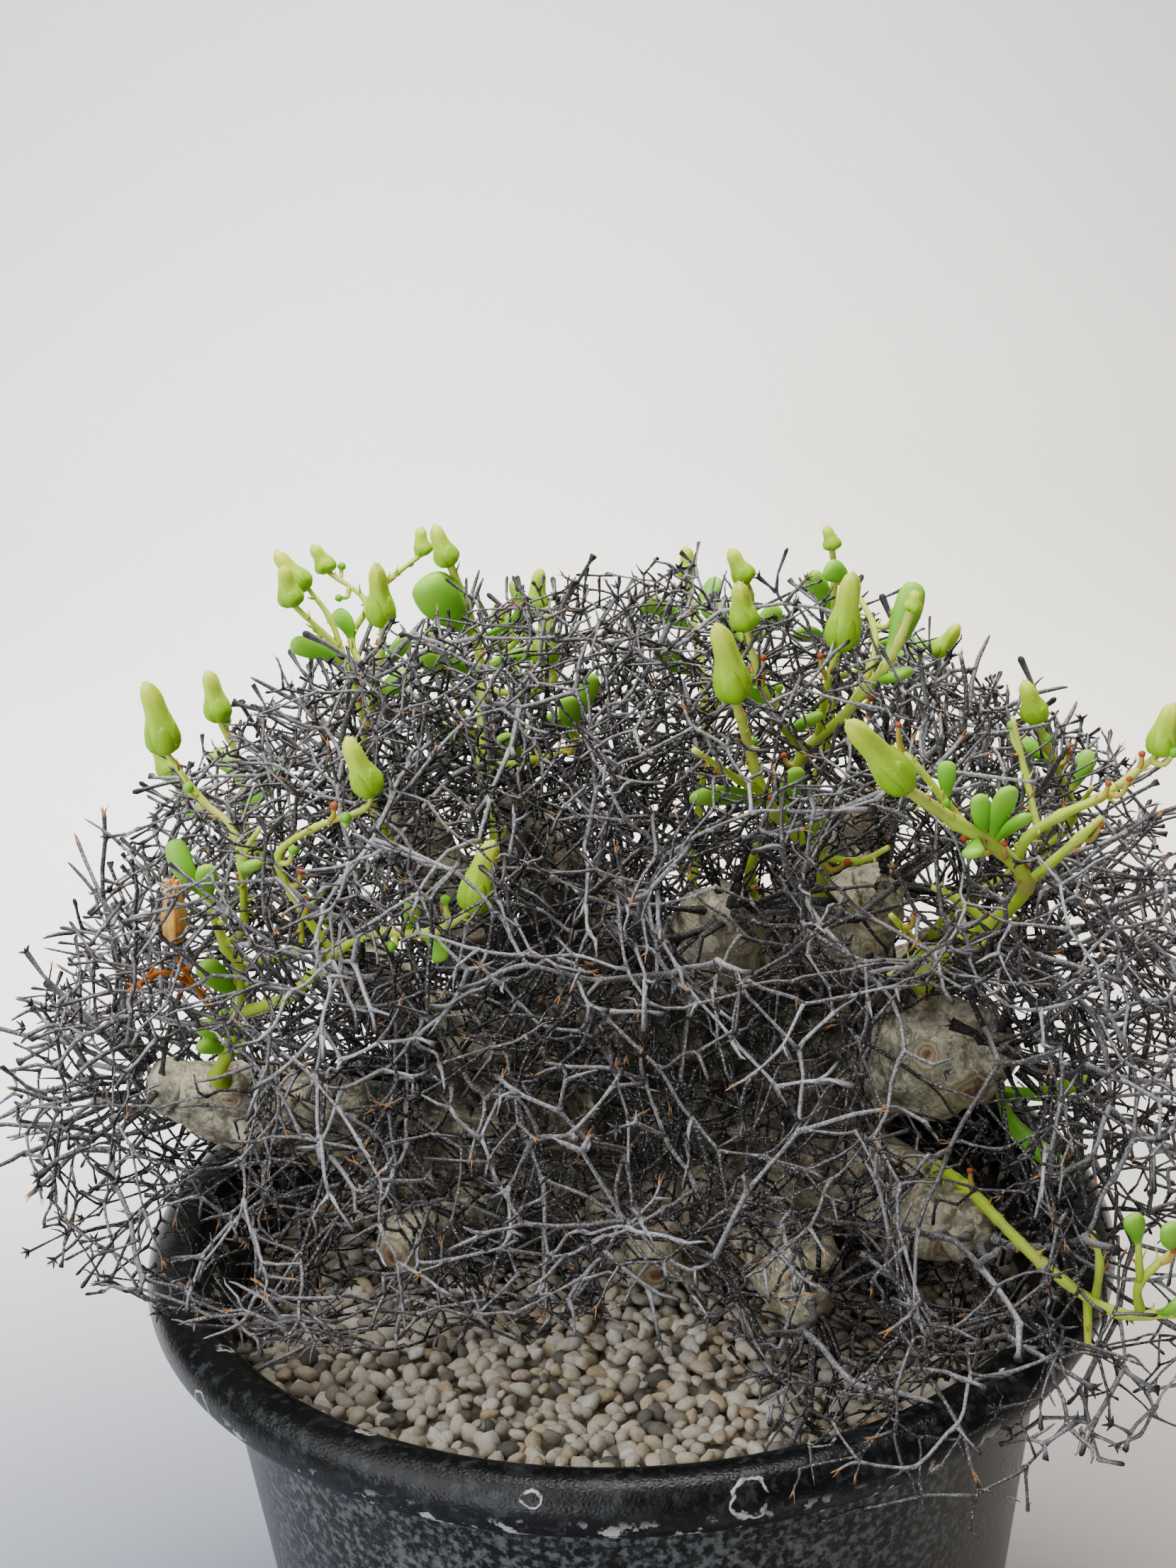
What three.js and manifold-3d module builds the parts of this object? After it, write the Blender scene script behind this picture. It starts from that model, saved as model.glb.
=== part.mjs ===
// A potted Tylecodon reticulatus, in millimetres, +Z up.
// The origin is the middle of the pot's flat underside and the viewer stands on the -Y side.
import * as THREE from 'three';
import { mergeVertices } from 'three/addons/utils/BufferGeometryUtils.js';
import Module from 'manifold-3d';

const wasm = await Module();
wasm.setup();

// Clearance kept between pieces that touch on the real plant.
const GAP = 0.3;

// Pot: a tapered plastic wall that ends in a rolled, inverted-U rim.
const POT = {
  sides: 28, wall: 2.2, floor: 2.5, footRadius: 57, lowRadius: 59, lowZ: 2,
  highRadius: 74, highZ: 131, neckRadius: 75.5, neckZ: 136,
  rimRadius: 80.15, rimZ: 140, rollRadius: 4.85, lipAngle: -50,
};
const SLOT = { count: 8, width: 3.5, length: 13, radius: 34 };

// Soil and its gravel top dressing.
const SOIL_TOP = 113.7;
const GRAVEL = { bottom: 114, low: 125.2, high: 127.2, spacing: 9, jitter: 1.8 };

// Trunk, where it passes through the gravel into the soil.
const TRUNK = { x: 6, y: 28, foot: 108, lip: 134, radius: 24, sides: 12 };

// Limbs of the caudex: points of the axis, radii at the first and last point, and the wire bunch
// that grows from the flat tip. A limb with no bunch ends in a bare knob.
const LIMBS = [
  { path: [[6, 28, 133], [5, 27, 148], [3, 28, 166]], r: [24, 13] },
  { path: [[10, 24, 142], [34, 14, 158], [50, 2, 169], [62, -11, 175]], r: [14, 10],
    bunch: 'twigs_right_front' },
  { path: [[4, 20, 160], [12, 6, 182], [18, -10, 201]], r: [10.5, 8], bunch: 'twigs_front_top' },
  { path: [[16, 24, 160], [34, 13, 182], [46, 6, 198]], r: [10.5, 8.8], bunch: 'twigs_right_top' },
  { path: [[14, 10, 142], [24, -14, 147], [29, -31, 143]], r: [10, 9], bunch: 'twigs_front_low' },
  { path: [[24, 14, 144], [43, -8, 149], [56, -24, 149]], r: [10, 8.4], bunch: 'twigs_right_low' },
  { path: [[4, 14, 140], [4, 0, 139], [4, -12, 136]], r: [7.5, 5.6] },
  { path: [[-10, 18, 138], [-32, 6, 137], [-44, -1, 136]], r: [7, 4.8] },
  { path: [[-6, 26, 144], [-34, 16, 150], [-58, 8, 160], [-79, 2, 169]], r: [10, 7.5], bunch: 'twigs_left' },
  { path: [[-26, 20, 144], [-46, 18, 147], [-66, 20, 156]], r: [8, 6.5], bunch: 'twigs_left_low' },
  { path: [[16, 16, 142], [29, 4, 149], [36, -1, 152]], r: [8, 6.4] },
  { path: [[0, 28, 158], [-9, 31, 186], [-16, 34, 207]], r: [10, 7], bunch: 'twigs_top' },
  { path: [[-4, 32, 150], [-27, 40, 180], [-38, 43, 202]], r: [10, 6.5], bunch: 'twigs_left_top' },
  { path: [[12, 34, 150], [36, 44, 178], [52, 50, 198]], r: [10, 7], bunch: 'twigs_back_right' },
  { path: [[6, 42, 144], [4, 62, 160], [2, 74, 174]], r: [10, 7], bunch: 'twigs_back' },
  { path: [[-8, 38, 144], [-38, 52, 156], [-56, 60, 170]], r: [10, 7], bunch: 'twigs_back_left' },
  { path: [[22, 36, 142], [50, 50, 152], [66, 56, 163]], r: [10, 7], bunch: 'twigs_back_low' },
  { path: [[20, 28, 150], [44, 24, 166], [64, 20, 181]], r: [9, 7], bunch: 'twigs_far_right' },
  { path: [[-2, 16, 150], [-18, -2, 165], [-28, -18, 180]], r: [9, 6.8], bunch: 'twigs_left_front' },
];
const LIMB = { sides: 7, step: 13, swell: 0.1, knob: 0.08, tip: 0.76 };

// Wire net: dry flower stalks that fork again and again into slim three-sided twigs. Lean, fork and
// their tries are for a bunch's first stalks and for its forks; angles are in degrees.
const TWIG = {
  total: 1130, stalks: 5, length: [19, 9], radius: [0.82, 0.54], clear: 0.34, deep: 6,
  lean: [12, 72], leanTries: 300, fork: [24, 46], tries: 26, reach: 11, view: 19, inner: 0.94,
  bends: 0.2,
};
const CROWN = { height: 3.4, foot: 0.66, top: 0.5, collar: 0.8, ring: 2.3, lift: 1.4, sides: 6 };

// The net's outline: a low dome, tucked in below its widest height except over the front right rim,
// clear of the rim, and kept off the gravel that lies open at the front left.
const DOME = {
  x: 3, y: 14, z: 150, rx: 119, ry: 106, rz: 108, waist: 166, floor: 129.5, hem: 146,
  tuck: { share: 0.24, over: 36, power: 1.2 },
};
const OVER_RIM = { x: 18, y: -30, hem: 126 };
const OPEN_FRONT = { x: 16, y: -26, z: 138, rise: 0.62 };
const RIM_CLEAR = { roll: 0.6, wall: 71 };

// Green sprays. Each stands on a short stub of the caudex: stub = [inside, cap, radius, cap radius].
// Stems list a radius and their points. A bud lists its tip and width, and runs on from the nearest
// stem end that bears no other bud. Leaves run from their foot to their blunt tip, width last.
const SPRAYS = {
  spray_left: {
    stub: [[-66, 5, 163], [-69, -4, 173], 4.6, 3.4],
    stems: [
      [1.5, [-67, -8, 180], [-64, -11, 188.5], [-62.6, -13, 198], [-64.2, -14, 202], [-66, -16, 212]],
      [0.9, [-64.2, -14, 202], [-60, -18, 208], [-60.4, -16, 222], [-65.5, -13, 227], [-71, -12, 235.5]],
      [0.8, [-60, -18, 208], [-58.6, -20, 219.5], [-55.3, -22, 225]],
      [1.3, [-64, -11, 188.5], [-54, -17, 194], [-45.5, -22, 203], [-39, -26, 208], [-29, -31, 209.6],
        [-22, -34, 214.5]],
      [0.9, [-45.5, -22, 203], [-50, -22, 211], [-53, -22, 220], [-46.5, -23, 225], [-38.5, -24, 228],
        [-37, -24, 231]],
      [0.8, [-62.6, -13, 198], [-53, -11, 199.5], [-51.8, -10, 205], [-48, -9, 209]],
    ],
    buds: [
      [[-72.5, -14, 247.5], 5.6], [[-18, -36, 226], 5.6],
      [[-40, -26, 240.5], 5],
    ],
    leaves: [
      [[-65.5, -11, 192], [-67.4, -18, 201], 4.6], [[-66, -9, 184], [-70, -13, 188], 4],
      [[-67, -8, 180], [-70.5, -12, 184], 4], [[-66, -15.5, 210.5], [-65, -18.5, 218], 3.6],
      [[-60, -19, 216], [-56.5, -25, 220], 3.8], [[-66, -16, 211], [-70.8, -14, 221], 4],
      [[-30.5, -30, 209.5], [-27.6, -32, 205], 3.2], [[-33, -29, 209.6], [-31, -29, 215.5], 3],
    ],
  },
  spray_back_left: {
    stub: [[-34, 42, 192], [-40, 35, 200], 4, 3.2],
    stems: [
      [1.3, [-45, 37, 214], [-44, 38, 223.5], [-41.6, 38, 230.3], [-39.9, 36, 236.7], [-39, 35, 243]],
      [1, [-44, 38, 223.5], [-46, 38, 234], [-49, 38, 239.5], [-55, 36, 247.2]],
      [0.8, [-46.6, 38, 235], [-49, 40.5, 243], [-53, 42, 249]],
      [0.9, [-41.6, 38, 230.3], [-46, 45, 237.5], [-43, 48, 244], [-50.3, 52, 249.5]],
      [0.8, [-43, 48, 244], [-38.4, 54, 247.2], [-32.3, 60, 250.5]],
    ],
    buds: [
      [[-39.1, 33, 254.6], 5.4], [[-55.9, 35, 254.4], 4.6],
      [[-58, 42, 255.8], 4.6], [[-52.6, 52, 254.4], 4],
      [[-32.7, 60, 255.3], 3.6],
    ],
    leaves: [
      [[-46.5, 38, 235], [-56, 36, 240], 4], [[-46, 44.5, 237], [-48.8, 47, 243], 3.4],
      [[-40.6, 37, 234], [-34.7, 34, 241], 4], [[-43.5, 40, 226], [-35, 42, 232], 4],
    ],
  },
  spray_top: {
    stub: [[-13, 33, 197], [-19, 26, 204], 4, 3.2],
    stems: [
      [1.4, [-22.5, 29, 217], [-22, 37, 229], [-22.7, 40, 239], [-24.2, 39, 245], [-26.5, 38, 253]],
      [0.9, [-22, 37, 229], [-14, 33, 229.5], [-8.6, 30, 232.6], [-10.2, 28, 236.5]],
      [0.8, [-22.2, 38, 232], [-15.3, 46, 236], [-11.2, 46, 241]],
      [0.9, [-22.5, 29, 217], [-14, 22, 220], [-6, 17, 224], [-4.6, 16, 229]],
    ],
    buds: [
      [[-28.7, 38, 260], 4.6], [[-9.1, 28, 246.3], 5],
      [[-10.4, 46, 249.4], 4.4],
    ],
    leaves: [
      [[-23, 40, 239], [-31, 36, 251], 8.4], [[-22.2, 40, 238], [-14.5, 38, 242.5], [-15.4, 39, 249], 3.6],
      [[-22.3, 38, 232.5], [-33, 33, 237.5], 5], [[-21.5, 39, 233.5], [-12, 42, 234.5], 4.6],
      [[-5.4, 16.5, 225], [-6.2, 13, 234.2], 4], [[-4.6, 16, 228.5], [-2, 14, 237.6], 4],
      [[-15, 22.5, 219.8], [-18, 15, 227], 4],
    ],
  },
  spray_centre: {
    stub: [[40, 10, 190], [36, 1, 199], 4.2, 3.2],
    stems: [
      [1.4, [35, -3, 208.5], [30.5, -4, 213.5], [27, -10, 219], [24.8, -14, 224], [23.2, -16, 229],
        [20.7, -20, 239], [19.6, -22, 242.5]],
      [0.9, [35, -3, 208.5], [41, -7, 209], [45, -12, 213]],
      [0.9, [24.8, -14, 224], [20.2, -20, 228.5], [12.8, -30, 237]],
    ],
    buds: [[[16.9, -26, 255.5], 5.8]],
    leaves: [
      [[25.8, -12.4, 221.5], [12.6, -26, 228.2], 4.6], [[28, -8, 217.5], [30, -14, 228], 4],
      [[32, -4, 211.6], [35, -11, 219], 3.4],
    ],
  },
  spray_right_top: {
    stub: [[31, 15, 178], [26, 19, 190], 4.4, 3.2],
    stems: [
      [1.4, [25, 18, 200], [30, 14, 213], [33.8, 10, 223], [36, 8, 226], [40, 4, 231], [43, 0, 236.4],
        [46, -3, 241.3], [48, -5, 246], [49.7, -6, 251.5]],
      [0.9, [33.8, 10, 223], [29.6, 2, 230], [26.2, -2, 237.2], [24.5, -2, 243.6], [23.4, -2, 248.6]],
      [0.9, [36, 8, 226], [37.2, 2, 238], [38.7, 0, 244]],
      [0.9, [40, 4, 231], [45, 8, 238], [46.4, 14, 243.6], [43.2, 21, 250]],
    ],
    buds: [
      [[40.5, -4, 257.4], 5.8], [[22.3, -4, 256.6], 4.8],
      [[50.1, -6, 254.4], 3],
    ],
    leaves: [
      [[46, -2.6, 241], [51.5, 1, 254], 4.8], [[43.4, -0.6, 237], [49.6, -6, 241], 4],
      [[28.2, -0.2, 233], [22, -1, 239.5], 4], [[30.6, 3.6, 228.4], [34.5, -5, 234], 4],
      [[43.4, 20.6, 249.6], [39, 20, 253], 4],
    ],
  },
  spray_right_front: {
    stub: [[50, 0, 171], [52, -7, 186], 5.4, 3.8],
    stems: [
      [1.8, [54, -9, 190], [57.5, -12, 195.5], [61, -16, 200], [65, -24, 210], [59.6, -28, 218],
        [52.4, -32, 224], [43.4, -39.5, 232.5]],
      [1.3, [57.5, -12, 195.5], [50.3, -18, 196.5], [42.2, -24, 195]],
      [0.9, [50.3, -18, 196.5], [43.6, -24, 206]],
      [1, [61, -16, 200], [56.4, -14, 204], [51.8, -14, 206.5]],
      [0.9, [54.8, -31, 222], [46.4, -30, 233], [43.5, -28, 235.3]],
      [1.2, [65, -24, 210], [73.4, -24, 217.6], [77.2, -22, 220]],
      [1.1, [62.7, -26, 213.2], [64.7, -26, 218.7], [69.9, -26, 222.2], [76.2, -24, 224], [81.9, -22, 227],
        [86.9, -20, 229.8]],
      [0.8, [66.2, -26, 220], [65.5, -20, 227], [63.7, -18, 236.2]],
    ],
    buds: [
      [[34, -46, 245.3], 5.8], [[88.2, -22, 238.2], 5],
    ],
    leaves: [
      [[58.4, -28.6, 219], [60.4, -33, 229.6], 4], [[58.8, -28, 219], [63.4, -33, 225], 3.4],
      [[57.5, -29, 220], [56, -31, 228], 3.2], [[56, -30, 221], [54, -37, 220.5], 3.6],
      [[51, -31, 226.6], [51.4, -29, 233], 3],
    ],
  },
  spray_far_right: {
    stub: [[55, 21.5, 175], [57, 13, 186], 4.2, 3.2],
    stems: [
      [1.2, [60, 11, 192], [75, 11, 202], [80.3, 10, 208.5], [78.7, 8, 214.3], [73.3, 2, 226],
        [71.4, 0, 230.4]],
      [0.8, [80.3, 10, 208.5], [82.6, 6, 215.5]],
    ],
    buds: [[[68.8, -2, 237.4], 4.6]],
    leaves: [[[79, 8.4, 213], [84, 12, 220], 3.6], [[75.4, 5, 221], [70, 8, 224], 3.4]],
  },
  spray_rim: {
    stub: [[47, -13, 147], [51, -20, 157], 4.2, 3.2],
    stems: [
      [1.4, [55, -30, 160], [64, -46, 155], [74, -52, 149.5], [83, -52, 149], [89, -51, 150]],
      [1, [78, -52, 149.2], [77.5, -53, 155], [83, -53, 161]],
      [0.9, [77.6, -53, 155], [76.6, -54.5, 163]],
      [0.9, [71, -51, 150.8], [72, -50, 157], [71, -49, 162]],
      [1, [69.4, -51, 151.2], [69.5, -54.5, 144]],
    ],
    buds: [],
    leaves: [
      [[83, -53, 160.6], [88.5, -53, 166], 3.6], [[82.4, -53, 160.4], [81, -56, 167], 3.6],
      [[76.8, -54.3, 162], [75, -56, 168.6], 3.4], [[88, -51.2, 149.6], [93.5, -51, 153.5], 3.6],
      [[80.5, -52, 149.4], [83, -57, 154.5], 3.4],
    ],
  },
  leaves_right: {
    stub: [[55, -3, 168], [63, 2.5, 162.5], 4.4, 3],
    stems: [[1.5, [66, 3, 161.2], [67.5, 2.5, 161]]],
    buds: [],
    leaves: [
      [[66.4, 3, 161.6], [73.4, -2, 162], [81.2, -6, 167], 4.2],
      [[66.2, 2.6, 160.6], [69, -3, 155.4], [77, -11, 151.6], 4.4],
      [[66.6, 3.2, 161], [72, 6, 157.4], 3.4],
    ],
  },
  spray_back_right: {
    stub: [[46, 47.5, 190], [41, 53, 199], 4, 3.2],
    stems: [
      [1.2, [44, 57, 214], [44.5, 60, 230], [45.2, 58, 242], [44.5, 56, 248.6]],
      [0.9, [44.2, 58.5, 222], [53, 52, 226], [62, 44, 230]],
    ],
    buds: [[[43.2, 56, 252.6], 3.4], [[66, 42, 236], 4.4]],
    leaves: [
      [[44.6, 60, 235], [40.4, 58, 243.4], 4.2], [[44.4, 59.6, 228.6], [37, 53, 233], 4],
      [[52, 52.6, 225.6], [53, 46, 233], 4], [[55, 50.4, 226.6], [62, 54, 230], 4],
    ],
  },
  spray_back_top: {
    stub: [[7, 32, 163], [14, 44, 178], 4.6, 3.2],
    stems: [
      [1.3, [17, 52, 192], [20, 60, 214], [19, 66, 230], [17.7, 70, 241]],
      [0.9, [20, 60, 214], [26, 53, 228], [28.6, 49, 240], [27.6, 48, 245]],
    ],
    buds: [[[17.6, 70, 247], 4.2], [[24.8, 48, 251], 4.4]],
    leaves: [
      [[18.8, 66.4, 231], [8.6, 62, 238.4], 5], [[26.8, 51.6, 231], [34, 53, 238.4], 4.4],
      [[27, 51.4, 232], [20, 55, 239.6], 4.6], [[19.6, 63, 223], [11, 58, 230], 4.6],
      [[18.4, 67.6, 235], [24, 72, 240], 4],
    ],
  },
  spray_back: {
    stub: [[3, 64, 162], [-6, 70, 173], 4.4, 3.2],
    stems: [
      [1.3, [-11, 76, 181], [-18, 84, 196], [-16, 86, 214], [-19, 84, 224]],
      [0.9, [-18, 84, 196], [-27, 83, 208], [-31, 80, 222]],
    ],
    buds: [[[-20, 82, 235], 5.2], [[-34, 78, 232], 5]],
    leaves: [
      [[-17.4, 84.4, 203], [-8, 84, 210], 4.6], [[-25, 83.2, 205.6], [-34, 84, 209], 4.4],
      [[-16.4, 85.8, 212], [-10, 80, 220], 4.2],
    ],
  },
  spray_far_left: {
    stub: [[-45, 55, 161], [-51, 50, 172], 4.4, 3.2],
    stems: [
      [1.3, [-56, 49, 181], [-69, 51, 196], [-70, 52, 212], [-73, 51, 222]],
      [0.9, [-71, 52, 198], [-79, 47, 206], [-82, 45, 213]],
    ],
    buds: [[[-74, 50, 232], 5.2], [[-84, 44, 221], 4.6]],
    leaves: [
      [[-70.6, 52, 203], [-64, 56, 211], 4.4], [[-70.4, 52, 208], [-76, 57, 214], 4],
      [[-75, 49.6, 202], [-82, 52, 205], 4],
    ],
  },
};
const BUD = { sides: 5, profile: [[0.2, 1], [0.52, 0.76], [0.88, 0.54]] };
const LEAF = { thick: 0.58, profile: [[0.4, 0.88], [0.94, 0.84]], side: [0.9, 0.1, 0.3] };

// One dried flower, a papery urn on a rusty stalk that leans on the left spray.
const DRIED = {
  stalk: [[-68, -13.2, 191], [-71, -18, 201], [-71.3, -19, 205.4]], r: 0.7,
  twig: [[-69.6, -15.8, 196], [-74, -20, 200.5], [-79.2, -22, 198.2]],
  urn: [[-71.4, -19, 205], [-70.1, -21.4, 215.4]], width: 5.4,
};

const COLOURS = {
  pot: [0x17181a, 0.42], soil: [0x4a3a2c, 1], gravel: [0xb9aa92, 0.85], caudex: [0xa79c8b, 0.8],
  twig: [0x77747a, 0.72], green: [0x8fb23e, 0.5], leaf: [0x6fa03c, 0.45], dried: [0xb9773f, 0.8],
};

const vec = (p) => new THREE.Vector3(...p);
const mix = (a, b, t) => a + (b - a) * t;
const degrees = Math.PI / 180;

// Repeatable random numbers between 0 and 1.
function seeded(seed) {
  let s = seed >>> 0;
  return () => {
    s = (s + 0x6d2b79f5) >>> 0;
    let t = Math.imul(s ^ (s >>> 15), s | 1);
    t ^= t + Math.imul(t ^ (t >>> 7), t | 61);
    return ((t ^ (t >>> 14)) >>> 0) / 4294967296;
  };
}

// A closed surface: points, and faces that index them counter-clockwise from outside.
class Shell {
  constructor() {
    this.points = [];
    this.faces = [];
  }

  point(p) {
    return this.points.push(p.clone()) - 1;
  }

  ring(points) {
    return points.map((p) => this.point(p));
  }

  // Joins two rings that run counter-clockwise about the direction from a to b.
  band(a, b) {
    const n = a.length;
    if (b.length !== n) {
      this.zip(a, b);
      return;
    }
    for (let i = 0; i < n; i += 1) {
      const j = (i + 1) % n;
      const across = (from, to) => this.points[from].distanceTo(this.points[to]);
      if (across(a[i], b[j]) < across(a[j], b[i])) this.faces.push([a[i], a[j], b[j]], [a[i], b[j], b[i]]);
      else this.faces.push([a[i], a[j], b[i]], [a[j], b[j], b[i]]);
    }
  }

  // Joins two rings of different counts that start on the same side.
  zip(a, b) {
    let [i, j] = [0, 0];
    while (i < a.length || j < b.length) {
      const near = [a[i % a.length], b[j % b.length]];
      if (j === b.length || (i < a.length && (i + 0.5) / a.length <= (j + 0.5) / b.length)) {
        i += 1;
        this.faces.push([near[0], a[i % a.length], near[1]]);
      } else {
        j += 1;
        this.faces.push([near[0], b[j % b.length], near[1]]);
      }
    }
  }

  // Closes a ring with a flat face: at its far end, or at its near end when first is true.
  cap(ring, first = false) {
    for (let i = 1; i + 1 < ring.length; i += 1) {
      if (first) this.faces.push([ring[0], ring[i + 1], ring[i]]);
      else this.faces.push([ring[0], ring[i], ring[i + 1]]);
    }
  }

  // Closes a ring with a point beyond it, or before it when first is true.
  apex(ring, tip, first = false) {
    const top = this.point(tip);
    ring.forEach((p, i) => {
      const q = ring[(i + 1) % ring.length];
      this.faces.push(first ? [q, p, top] : [p, q, top]);
    });
  }

  solid() {
    const vertProperties = new Float32Array(this.points.flatMap((p) => [p.x, p.y, p.z]));
    const triVerts = new Uint32Array(this.faces.flat());
    return new wasm.Manifold(new wasm.Mesh({ numProp: 3, vertProperties, triVerts }));
  }
}

// Turns a closed three.js geometry into a solid.
function solidOf(geometry) {
  geometry.deleteAttribute('normal');
  geometry.deleteAttribute('uv');
  const merged = mergeVertices(geometry, 1e-4);
  const index = merged.index.array;
  const faces = [];
  for (let i = 0; i < index.length; i += 3) {
    const [a, b, c] = [index[i], index[i + 1], index[i + 2]];
    if (a !== b && b !== c && a !== c) faces.push(a, b, c);
  }
  const vertProperties = new Float32Array(merged.attributes.position.array);
  return new wasm.Manifold(new wasm.Mesh({ numProp: 3, vertProperties, triVerts: new Uint32Array(faces) }));
}

// Turns a closed outline of [radius, height] points, from the axis and back to it, about Z.
function turned(outline) {
  const points = outline.map(([r, z]) => new THREE.Vector2(r, z));
  const geometry = new THREE.LatheGeometry(points, POT.sides);
  geometry.rotateX(Math.PI / 2);
  return solidOf(geometry);
}

// Joins solids into one body, and fills any hollow that they seal between them.
function fuse(solids) {
  const whole = solids.reduce((sum, solid) => sum.add(solid));
  return whole.decompose().sort((a, b) => b.volume() - a.volume())[0];
}

const group = new THREE.Group();
group.name = 'potted_tylecodon_reticulatus';

function place(name, solid, [colour, roughness]) {
  const { vertProperties, triVerts } = solid.getMesh();
  const geometry = new THREE.BufferGeometry();
  geometry.setAttribute('position', new THREE.BufferAttribute(new Float32Array(vertProperties), 3));
  geometry.setIndex(new THREE.BufferAttribute(new Uint32Array(triVerts), 1));
  geometry.computeVertexNormals();
  const material = new THREE.MeshStandardMaterial({ color: colour, roughness, metalness: 0 });
  const mesh = new THREE.Mesh(geometry, material);
  mesh.name = name;
  group.add(mesh);
}

// Frames along a path: position, direction, and two sides carried along without twist.
function frames(path, side = new THREE.Vector3(0.31, 0.83, 0.47)) {
  let across = side;
  return path.map((p, i) => {
    const next = path[Math.min(i + 1, path.length - 1)];
    const ahead = next.clone().sub(path[Math.max(i - 1, 0)]).normalize();
    across = across.clone().addScaledVector(ahead, -across.dot(ahead)).normalize();
    return { p, ahead, across, other: ahead.clone().cross(across) };
  });
}

// A closed tube whose ring at each point of the path has the half widths that size(i, k) gives. It
// ends flat, or in a point where foot or tip gives one.
function tube(path, sides, size, tip = null, side = undefined, foot = null) {
  const shell = new Shell();
  const rings = frames(path, side).map(({ p, across, other }, i) => {
    const count = sides?.[i] ?? sides;
    return shell.ring(Array.from({ length: count }, (_, k) => {
      const angle = (2 * Math.PI * k) / count;
      const [a, b] = [size(i, k)].flat();
      const q = p.clone().addScaledVector(across, a * Math.cos(angle));
      return q.addScaledVector(other, (b ?? a) * Math.sin(angle));
    }));
  });
  if (foot) shell.apex(rings[0], foot, true);
  else shell.cap(rings[0], true);
  for (let i = 1; i < rings.length; i += 1) shell.band(rings[i - 1], rings[i]);
  if (tip) shell.apex(rings.at(-1), tip);
  else shell.cap(rings.at(-1));
  return shell.solid();
}

function innerRadius(z) {
  const low = POT.lowRadius - POT.wall - 0.5;
  return mix(low, POT.highRadius - POT.wall - 0.2, (z - POT.floor) / (POT.highZ - 1 - POT.floor));
}

function makePot() {
  const { rimRadius, rimZ, rollRadius, wall } = POT;
  const arc = (radius, angle) => [
    rimRadius + radius * Math.cos(angle * degrees), rimZ + radius * Math.sin(angle * degrees),
  ];
  const outline = [[0, 0], [POT.footRadius, 0], [POT.lowRadius, POT.lowZ], [POT.highRadius, POT.highZ],
    [POT.neckRadius, POT.neckZ]];
  const overRoll = [POT.lipAngle, -20, 10, 40, 70, 100, 130, 160, 180];
  for (const angle of [180, 90, 0, POT.lipAngle]) outline.push(arc(rollRadius - wall, angle));
  for (const angle of overRoll) outline.push(arc(rollRadius, angle));
  outline.push([POT.neckRadius - wall - 0.3, POT.neckZ], [POT.highRadius - wall - 0.2, POT.highZ - 1],
    [POT.lowRadius - wall - 0.5, POT.floor], [0, POT.floor]);
  let pot = turned(outline);
  for (let i = 0; i < SLOT.count; i += 1) {
    const slot = new THREE.BoxGeometry(SLOT.length, SLOT.width, POT.floor * 3);
    slot.translate(SLOT.radius, 0, 0);
    slot.rotateZ(((i + 0.5) * 2 * Math.PI) / SLOT.count);
    pot = pot.subtract(solidOf(slot));
  }
  return pot;
}

// The trunk's foot, grown by a clearance where it is used to cut its own hole.
function trunkFoot(grow) {
  const path = [vec([TRUNK.x, TRUNK.y, TRUNK.foot - grow]), vec([TRUNK.x, TRUNK.y, TRUNK.lip + grow])];
  return tube(path, TRUNK.sides, () => TRUNK.radius + grow * 1.1);
}

function makeSoil() {
  const body = turned([[0, POT.floor + GAP], [innerRadius(POT.floor) - GAP * 1.1, POT.floor + GAP],
    [innerRadius(SOIL_TOP) - GAP * 1.1, SOIL_TOP], [0, SOIL_TOP]]);
  return body.subtract(trunkFoot(GAP));
}

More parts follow.
